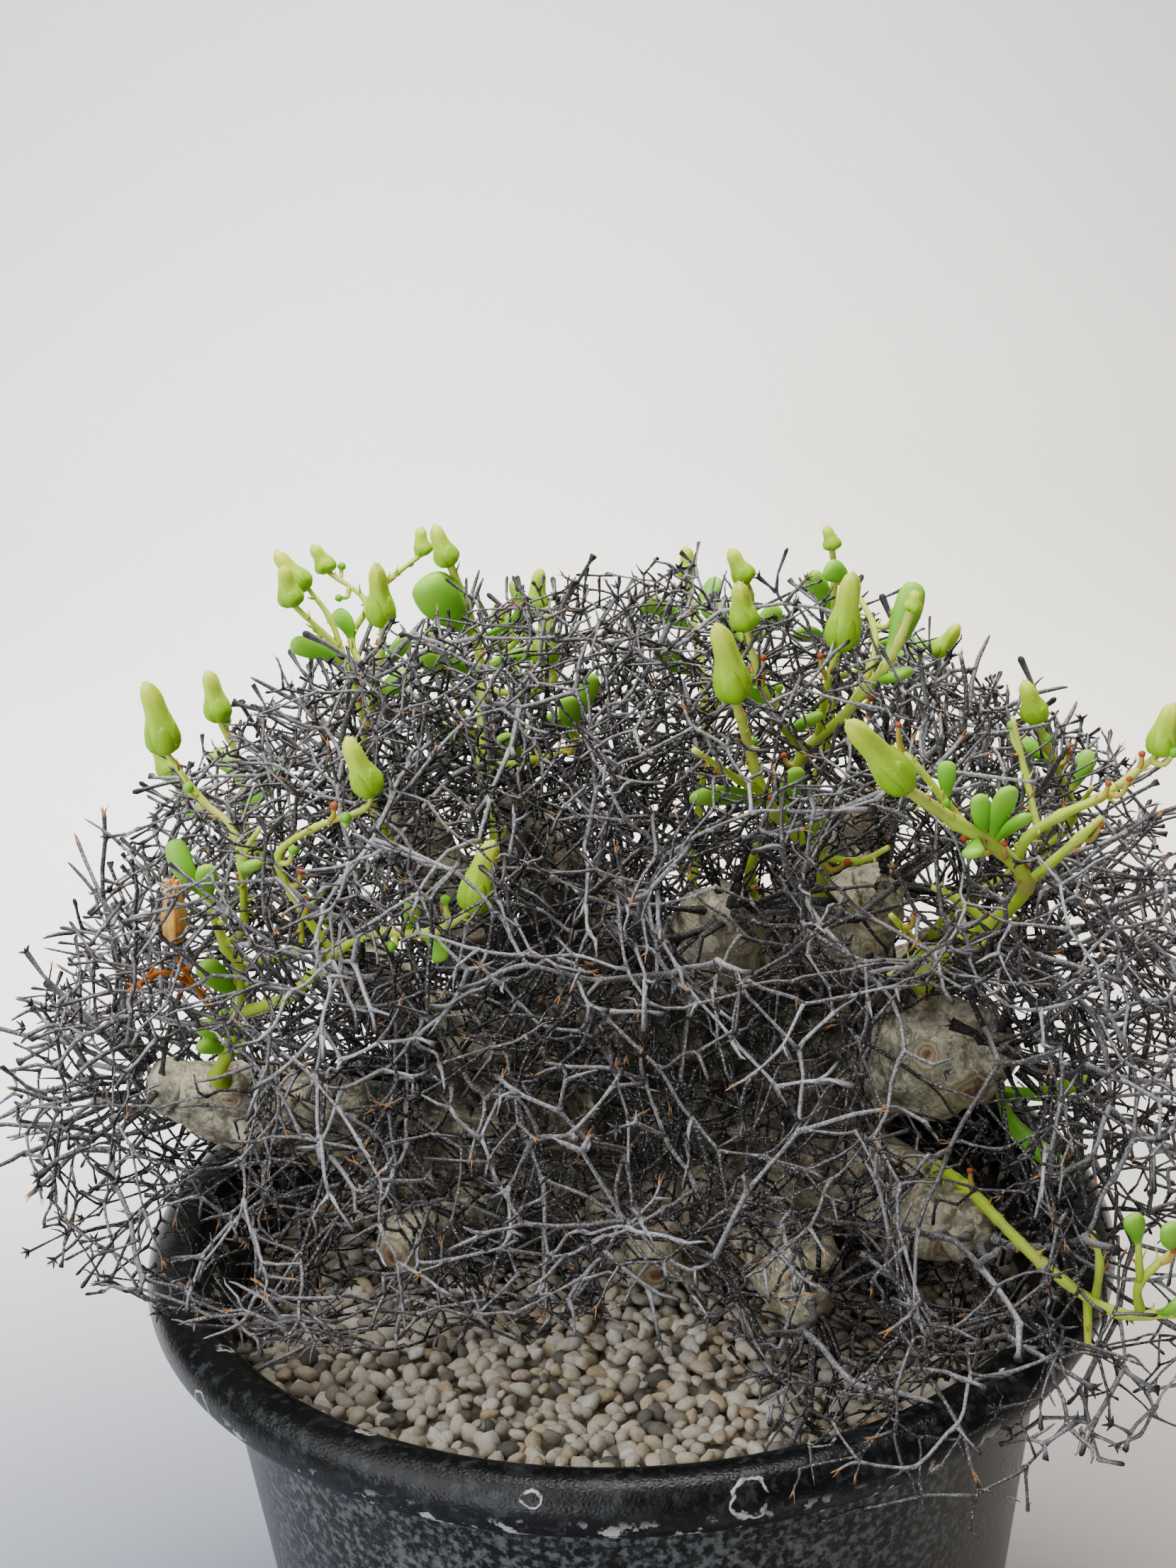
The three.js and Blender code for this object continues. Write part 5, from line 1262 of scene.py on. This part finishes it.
def in_thin_places(points):
    found = np.zeros(len(points), bool)
    for start, end, radius in THIN:
        start, run = np.array(start, float), np.subtract(end, start)
        t = np.clip((points - start) @ run / (run @ run), 0, 1)
        found |= np.linalg.norm(points - start - t[:, None] * run, axis=1) < radius
    return found


def inside(points, scale=1.0, stray=0.0):
    x, y, z = points.T
    out = np.hypot(x, y)
    centre, radii = DOME["centre"], DOME["radii"]
    across = np.hypot((x - centre[0]) / radii[0], (y - centre[1]) / radii[1])
    rise = np.maximum(0, (z - centre[2]) / radii[2])
    ragged = uneven(points, 6.0)
    over_rim = (x > 18 + 5 * ragged) & (y < -30)
    drawn = np.where((z < DOME["waist"]) & ~over_rim,
                     1 + 0.24 * (np.maximum(0, DOME["waist"] - z) / 36) ** 1.2, 1)
    good = np.hypot(across * drawn, rise) <= scale + 0.04 * ragged + 0.007 * stray
    good &= np.hypot(out - POT["rim_radius"], z - POT["rim_height"]) > POT["roll"] + 1.0
    good &= ~((out < POT["rim_radius"]) & (z < DOME["floor"] + 0.5))
    good &= ~((out > 71) & (out < POT["rim_radius"]) & (z < POT["rim_height"]))
    good &= ~((out >= POT["rim_radius"]) & (z < np.where(over_rim, 126, 146) - 0.4 * stray))
    hem = 138 + (-26 - y) * 0.62 + 8 * ragged - stray
    good &= ~((x < 16 + 4 * ragged) & (y < -26) & (z < hem))
    return good & (points > box_low).all(1) & (points < box_high).all(1)


def samples(a, b, first, step):
    length = np.linalg.norm(b - a)
    t = np.arange(first, length + step, step) / length
    return a + (b - a) * np.minimum(t, 1)[:, None]


def cells(points, size=CELL):
    return tuple(((points - CORNER) / size).astype(int).T)


def mark(a, b):
    taken[cells(samples(a, b, 0, 0.6))] = True
    crowd[cells((a + b)[None] / 2, COARSE)] += 1


def room(p):
    x, y, z = (int(v) for v in (p - CORNER) / COARSE)
    return crowd[x - 1:x + 2, y - 1:y + 2, z - 1:z + 2].sum()


taken[cells(corners_of(caudex_skin))] = True
for name in [*SPRAYS, "dried_flower"]:
    corners = corners_of(nodes[name].data)
    for edge in nodes[name].data.edges:
        a, b = corners[list(edge.vertices)]
        if np.linalg.norm(b - a) > 0.1:
            taken[cells(samples(a, b, 0, 0.6))] = True
print("cells taken by the caudex and the sprays:", int(taken.sum()))

# %% [markdown]
# Growing needs only a list of forks: where each is, which fork it came from and how deep in its
# stalk it is. The open forks wait in a pool. Ten are drawn by chance, the one with the most room
# splits, and its two twigs are kept if they are clear of all the others.

# %% Grow the net
NET = {"total": 15000, "stalks": 10, "length": (15, 8), "lead": (14, 36), "side": (40, 68),
       "tries": 12, "inner": 0.93, "strays": 0.12, "stray": 11.0, "thin": 0.06,
       "spread": (8, 84), "crown_tries": 240, "drawn": 10}
HIGH = {"extra": 26, "from": 165, "over": 50}


def turned(axis, angle, spin):
    side = spun(axis, unit(np.cross(axis, (0.13, 0.27, 0.95))), spin)
    return axis * math.cos(angle) + side * math.sin(angle)


def grow():
    rng = np.random.default_rng(2027)
    where, parent, depth, owner, kids = [], [], [], [], []

    def keep(p, from_, level, name):
        where.append(p)
        parent.append(from_)
        depth.append(level)
        owner.append(name)
        kids.append(0)
        if from_ >= 0:
            kids[from_] += 1
            mark(where[from_], p)
        return len(where) - 1

    def sprout(fork, way, level, first=2.5):
        reach = np.interp(level, (0, 6), NET["length"]) * rng.uniform(0.7, 1.25)
        tip = where[fork] + way * reach
        path = samples(where[fork], tip, first, 1.2)
        stray = NET["stray"] * (rng.random() < NET["strays"])
        if not inside(path, 1.0, stray).all() or taken[cells(path)].any():
            return None
        if rng.random() > NET["thin"] and in_thin_places(path).any():
            return None
        return tip

    for name, tree in bunches.items():
        place = {}
        for i, (p, from_) in enumerate(tree):
            level = 0 if from_ < 0 else depth[place[from_]] + 1
            place[i] = keep(p, -1 if from_ < 0 else place[from_], level, name)
    seeds = len(where)
    for root in [i for i in range(seeds) if parent[i] < 0]:
        first = [where[i] for i in range(seeds) if parent[i] == root]
        axis = unit(sum(unit(p - where[root]) for p in first))
        grown = 0
        for _ in range(NET["crown_tries"]):
            way = turned(axis, math.radians(rng.uniform(*NET["spread"])),
                         rng.uniform(0, 2 * math.pi))
            tip = sprout(root, way, 0, 5.0)
            if tip is not None:
                keep(tip, root, 1, owner[root])
                grown += 1
            if grown == NET["stalks"]:
                break
    pool = [i for i in range(len(where)) if parent[i] >= 0 and kids[i] < 2]
    while pool and len(where) < NET["total"]:
        draw = rng.integers(0, len(pool), NET["drawn"])
        best = min(draw, key=lambda k: room(where[pool[k]]) + 0.7 * depth[pool[k]]
                   - HIGH["extra"] * np.clip((where[pool[k]][2] - HIGH["from"]) / HIGH["over"],
                                             0, 1))
        fork = pool[best]
        pool[best] = pool[-1]
        pool.pop()
        if not inside(where[fork][None], NET["inner"])[0]:
            continue
        way = unit(where[fork] - where[parent[fork]])
        level = depth[fork] + 1
        for attempt in range(NET["tries"]):
            spin = rng.uniform(0, 2 * math.pi)
            pair = [(turned(way, math.radians(rng.uniform(*angle)), spin + half), thinner)
                    for angle, half, thinner in ((NET["lead"], 0, 0), (NET["side"], math.pi, 2))]
            tips = [(sprout(fork, w, level + less), less) for w, less in pair[kids[fork]:]]
            found = [(tip, less) for tip, less in tips if tip is not None]
            if len(found) == len(tips) or (found and attempt > 7):
                for tip, less in found:
                    pool.append(keep(tip, fork, level + less, owner[fork]))
                break
    return np.array(where), parent, depth, owner, kids


where, parent, depth, owner, kids = grow()
stalk = []
for i, from_ in enumerate(parent):
    stalk.append(i if from_ < 0 or parent[from_] < 0 else stalk[from_])
print("twigs grown:", len(where), "tips:", sum(k == 0 for k in kids), "deepest:", max(depth))

# %% [markdown]
# Stalks deep in the thicket are painted dark, a painted shade, and those in the open pale. So each
# fork gets a daylight value: nine ways out are tried, eight slanting ones and one straight up, and
# the way that meets the fewest twigs counts. Rays cast at the meshes would be more exact, but
# counting twigs in coarse cells is quick. The caudex's skin gets the same values, for its painted
# shade.

# %% Daylight
SHADE_TWIGS = 9


def daylight(points):
    most = np.zeros(len(points))
    slanting = [(turn, 0.5) for turn in np.arange(8) * math.pi / 4]
    for turn, tilt in [*slanting, (0.0, math.pi / 2)]:
        way = np.array([math.cos(turn) * math.cos(tilt), math.sin(turn) * math.cos(tilt),
                        math.sin(tilt)])
        path = (points[:, None] + way * np.arange(0.75, 9)[:, None] * COARSE - CORNER) / COARSE
        x, y, z = np.moveaxis(np.clip(path, 0, np.array(crowd.shape) - 1).astype(int), -1, 0)
        most = np.maximum(most, np.exp(-crowd[x, y, z].sum(1) / SHADE_TWIGS))
    return most


twig_daylight = daylight(where)
# the caudex gets daylight values too, which its bark material turns into painted shade
skin_light = daylight(corners_of(caudex_skin))
paint_on(caudex_skin, "daylight", skin_light)
print("daylight, twigs:", np.percentile(twig_daylight, (5, 25, 50, 75, 95)).round(2), "caudex:",
      np.percentile(skin_light, (5, 25, 50, 75, 95)).round(2))

# %% [markdown]
# Dead stalks have weathered to silver: lignified fibre with a lilac cast and white specks of wax.
# The side that faces up is painted paler, a painted highlight, and stalks deep in the thicket are
# painted dark brown, a painted shade. Tips are dark knobs where flowers fell off, snapped ends show
# fresh tan wood. Dry wood is rough, with an IOR near 1.5. The specks are 0.3 mm, the fibre streaks
# 2 mm long. A twig's tone comes from its daylight, as painted shade, from its own stalk and chance.

# %% Weathered stalk
def weathered_stalk():
    material, tree, shader, place = begin("weathered_silver_stalk", 0.62, 1.5)
    # tone carries painted shade: it is low for twigs deep in the thicket, and the ramp below turns
    # that near black
    tone = painted(tree, "tone")
    streak = cloud(tree, place, 2.2, 5, Roughness=0.6)
    fibre = ramp(tree, maths(tree, "MULTIPLY_ADD", streak, 0.5, tone),
                 [(0.1, "#14100E"), (0.3, "#2E2825"), (0.52, "#514B49"), (0.78, "#7F7B7D"),
                  (1.0, "#B0AFB4")])
    # painted highlight: the side of a twig that faces up is mixed towards pale #BAB9BE, as if lit
    # from above
    facing = add(tree, "SeparateXYZ",
                 inputs={"Vector": add(tree, "NewGeometry").outputs["Normal"]}).outputs["Z"]
    painted_top_light = between(tree, facing, -0.1, 0.95, 0.0, 0.75)
    skin = mix(tree, maths(tree, "MULTIPLY", tone, painted_top_light, clamp=True), fibre, "#BAB9BE")
    wax = cloud(tree, place, 0.35, 2)
    skin = mix(tree, 1.0, skin, between(tree, wax, 0.36, 0.5, 0.5, 1.0), "MULTIPLY")
    speck = ramp(tree, wax, [(0.58, "#000000"), (0.66, (0.55, 0.55, 0.55, 1))])
    for share, tint in ((speck, "#DEDCDD"), (painted(tree, "end"), "#1E1816"),
                        (painted(tree, "snapped"), "#C08A52")):
        skin = mix(tree, share, skin, tint)
    wear(tree, shader, skin, dent(tree, streak, 0.5, 0.1))
    return material


stalk_wood = weathered_stalk()

# %% [markdown]
# Each twig becomes a slim tube with a slight bend and a lumpy thickness, and each fork a swollen
# knot, because the real forks are thicker than the twigs that meet there. Many tips end in a dark
# knob, some in a flared nail head where a flower fell off, a few in a star, its dry calyx, or in
# a curl. Snapped ends stand out as tan slivers, and the rest taper. Twigs deep in the thicket are
# plain three-sided slivers without a knot: nobody can see more of them, and they are many.

# %% Skin the net
THICK, SHELTERED = {"thin": 0.25, "extra": 0.38, "fade": 3.6}, 0.56
CROWN, BARK = {"sunk": 2.6, "height": 5.4, "radius": 5.2, "sides": 14}, 1
KNOT = (np.array([[1, 0, 0], [0, 1, 0], [-1, 0, 0], [0, -1, 0], [0, 0, 1], [0, 0, -1]], float),
        [[0, 1, 4], [1, 2, 4], [2, 3, 4], [3, 0, 4], [1, 0, 5], [2, 1, 5], [3, 2, 5], [0, 3, 5]])
ENDS = {"knob": 0.34, "nail": 0.5, "curl": 0.6, "snap": 0.72}
CHANCES = {"short tip": 0.85, "star": 0.12}
TONE = {"dark": -0.27, "painted_shade": 0.66, "stalk": 0.5, "twig": 0.08}


def thickness(level):
    return THICK["thin"] + THICK["extra"] * math.exp(-level / THICK["fade"])


def add_star(clay, at, way, size, tone):
    side = unit(np.cross(way, (0.2, 0.9, 0.4)))
    for k in range(5):
        out = unit(way * 0.7 + spun(way, side, k * 2 * math.pi / 5))
        points, faces = tube([at, at + out * size], [size * 0.26, size * 0.05], 3)
        clay.add(points, faces, tone=tone, end=0.8, snapped=0.0)


def add_slivers(clay, at, way, r, rng):
    side = unit(np.cross(way, rng.normal(size=3)))
    for k in range(3):
        off = spun(way, side, k * 2.1 + rng.uniform(0, 0.8))
        foot = at + off * r * 0.4 - way * 0.3
        tip = foot + (way + off * rng.uniform(-0.1, 0.5)) * rng.uniform(0.7, 1.9)
        points, faces = tube([foot, tip], [r * 0.45, r * 0.12], 3)
        clay.add(points, faces, tone=0.5, snapped=rng.uniform(0.7, 1.0))


def add_twig(clay, i, rng):
    a, b = where[parent[i]], where[i]
    if kids[i] == 0 and depth[i] > 3 and rng.random() < CHANCES["short tip"]:
        b = a + (b - a) * rng.uniform(0.3, 0.75)
    length, way = np.linalg.norm(b - a), unit(b - a)
    character = noise.noise(Vector(where[stalk[i]] * 3.7))
    # painted shade: the tone falls with the twig's daylight, so twigs deep in the thicket are
    # painted dark
    tone = (TONE["dark"] + TONE["painted_shade"] * twig_daylight[i] + TONE["stalk"] * character
            + rng.normal(0, TONE["twig"]))
    r1 = thickness(depth[i]) * (1.06 + 0.5 * character)
    r0 = (thickness(depth[i] - 1) * (1.06 + 0.5 * character) + r1) / 2 * rng.uniform(0.9, 1.1)
    start = 4.5 if parent[parent[i]] < 0 else 0.0
    a = a + way * min(start, length * 0.3)
    marks = np.array([0, 0.6, 1.7, 0.37 * length, 0.68 * length, length - 1.1, length])
    radius = np.array([r0 * 1.5, r0 * 1.16, r0, r0 * 0.93, r0 * 0.9, r1 * 0.96, r1 * 1.2])
    radius[2:5] *= rng.uniform(0.9, 1.1, 3)
    end, snapped, curl, sides = np.zeros(7), np.zeros(7), 0.0, 6 if depth[i] < 4 else 4
    if kids[i] == 0:
        kind = rng.random()
        if kind < ENDS["knob"]:
            marks[-2:] = length - 0.5, length
            radius[-3:], end[-3:] = (r1 * 0.85, r1 * 1.35, r1 * 0.8), (0.2, 0.9, 1)
        elif kind < ENDS["nail"]:
            marks[-3:] = length - 1.3, length - 0.2, length
            radius[-3:], end[-3:] = (r1 * 0.9, r1 * 1.9, r1 * 1.7), (0.35, 0.95, 1)
        elif kind < ENDS["curl"]:
            radius[-2:], end[-2:] = (r1 * 0.75, r1 * 0.4), (0.3, 0.6)
            curl = float((b > box_low + 3).all() and (b < box_high - 3).all())
        elif kind < ENDS["snap"]:
            radius[-1], snapped[-1], end[-2] = r1 * 0.85, 0.8, 0.35
            add_slivers(clay, b, way, r1, rng)
        else:
            radius[-2:], end[-1] = (r1 * 0.75, r1 * 0.35), 0.4
        if rng.random() < CHANCES["star"]:
            add_star(clay, b - way * 0.3, way, rng.uniform(1.1, 1.8), tone)
    t = np.clip(marks / length, 0, 1)
    sway = np.cross(way, unit(rng.normal(size=3))) * length
    line = a + (b - a) * t[:, None]
    line += sway * rng.normal(0, 0.055) * np.sin(t * math.pi)[:, None]
    line += np.cross(sway, way) * rng.normal(0, 0.03) * np.sin(2 * t * math.pi)[:, None]
    line += curl * unit(sway) * np.array([0, 0, 0, 0, 0.3, 1.5, 2.6])[:, None]
    keep = [0, 1, 2, 3, 4, 5, 6] if depth[i] < 6 else [0, 2, 4, 5, 6]
    hidden = max(twig_daylight[i], twig_daylight[parent[i]]) < SHELTERED
    if (kids[i] == 0 and depth[i] > 7) or hidden:
        keep, sides = [0, 3, 4, 5, 6] if curl else [0, 3, 5, 6], 3
    points, faces = tube(line[keep], radius[keep], sides)
    clay.add(points, faces, tone=tone, end=np.repeat(end[keep], sides),
             snapped=np.repeat(snapped[keep], sides))
    if kids[i] and not hidden:
        clay.add(b + KNOT[0] * r1 * 1.5, KNOT[1], tone=tone + 0.04)


def skin_nets():
    for k, name in enumerate(bunches):
        rng, clay = np.random.default_rng(900 + k), Clay()
        members = [i for i in range(len(where)) if owner[i] == name and parent[i] >= 0]
        crown = where[owner.index(name)]
        tips = np.array([where[i] for i in members if parent[parent[i]] < 0])
        axis = unit((tips - crown).mean(0))
        t = np.linspace(0, 1, 8)
        sides = CROWN["sides"]
        dome, faces = tube(crown - axis * CROWN["sunk"] + axis * CROWN["height"] * t[:, None],
                           CROWN["radius"] * np.sqrt(np.clip(1 - t ** 2.2, 0.004, 1)), sides)
        lumps = [1 + 0.16 * noise.noise(Vector(p / 1.6)) for p in dome]
        dome = crown + (dome - crown) * np.array(lumps)[:, None]
        # the crown's bark gets daylight values, which the bark material turns into painted shade
        clay.add(dome, faces, BARK, band=np.repeat(np.sin(t * 14) * 0.5 + 0.5, sides),
                 daylight=daylight(dome))
        for i in members:
            add_twig(clay, i, rng)
        clay.piece(name + "_net", [stalk_wood, bark], "dry_twig", [name])


skin_nets()
print("nets:", sum(triangles[name + "_net"] for name in bunches), "triangles")

# %% [markdown]
# The stage is a pale table that curves up into a wall well behind the plant, as in a
# photographer's cove, so no edge shows and the back view has room. Its colour holds a painted
# shadow round the pot, painted light that is cool at the left and warm at the right, and paler
# painted light on the far wall. The room behind the viewer is dark, as the deep black between the
# stalks tells: light comes from a soft window at the upper left, a low one that draws the band of
# light on the front of the rim, a lamp with a narrow beam that washes the wall, and a weak warm
# bounce at the right. The sky adds little, but the camera sees it bright, so that side views stay
# pale.

# %% Stage and light
def pale_cove():
    material, tree, shader, place = begin("pale_matt_paper", 0.9, 1.45)
    away = add(tree, "VectorMath", {"operation": "LENGTH"}, {"Vector": place}).outputs["Value"]
    side = add(tree, "SeparateXYZ", inputs={"Vector": place}).outputs["X"]
    across = between(tree, side, -0.16, 0.2)
    # painted light: cool blue at the left, warm at the right
    near, far = mix(tree, across, "#4A5670", "#8A8378"), mix(tree, across, "#DDDFE2", "#D7D3CC")
    # painted shadow: the paper is dark near the pot and pale beyond 0.4 m
    paper = mix(tree, between(tree, away, 0.09, 0.4), near, far)
    # painted light: paler still beyond 1.2 m, on the far wall
    wear(tree, shader, mix(tree, between(tree, away, 1.2, 1.5), paper, "#FBFAF8"))
    return material


def make_cove():
    half, back, bend, top = 1300.0, 1350.0, 400.0, 1600.0
    arc = np.radians(np.linspace(0, 90, 16))
    outline = [(-half, 0.0), *np.stack([back - bend + bend * np.sin(arc),
                                        bend - bend * np.cos(arc)], -1), (back, top)]
    points = [(x, y, z) for x in (-half, half) for y, z in outline]
    n = len(outline)
    mesh = bpy.data.meshes.new("cove")
    mesh.from_pydata(np.array(points) * MM, [],
                     [[i, n + i, n + i + 1, i + 1] for i in range(n - 1)])
    mesh.polygons.foreach_set("use_smooth", [True] * len(mesh.polygons))
    mesh.materials.append(pale_cove())
    cove = show("cove", mesh)


def lamp(name, place, aim, size, power, tint, spread=180):
    light = bpy.data.lights.new(name, "AREA")
    light.size, light.energy, light.color = size, power, colour(tint)[:3]
    light.spread = math.radians(spread)
    holder = show(name, light)
    holder.location = place
    holder.rotation_euler = (Vector(aim) - Vector(place)).to_track_quat("-Z", "Y").to_euler()
    holder.visible_camera = False


make_cove()
lamp("window", (-0.9, -0.6, 1.1), (0, 0, 0.17), 1.3, 21, "#F8FBFF")
lamp("low window", (-0.8, -1.5, 0.46), (0, 0, 0.15), 0.8, 11, "#F6F9FF")
lamp("bounce", (1.2, -0.6, 0.6), (0, 0, 0.17), 1.0, 1.0, "#FFF3E4")
lamp("wall wash", (0.04, 0.34, 1.5), (-0.04, 0.66, 0.38), 0.8, 20, "#FFFCF6", 70)
world = bpy.data.worlds.new("pale_sky")
world.use_nodes = True
sky = world.node_tree
ray = add(sky, "LightPath").outputs["Is Camera Ray"]
glow = add(sky, "MapRange", inputs={"Value": ray, "To Min": 0.05, "To Max": 1.3}).outputs["Result"]
sky.nodes["Background"].inputs["Color"].default_value = colour("#E9ECF0")
sky.links.new(glow, sky.nodes["Background"].inputs["Strength"])
bpy.context.scene.world = world

# %% [markdown]
# Last, the triangles are counted: in all pieces and in the largest. The dressed plant must stay
# inside the CAD model's box, and the net is grown within it.

# %% Triangle count
print("triangles in all:", sum(triangles.values()), "largest:", max(triangles.values()))
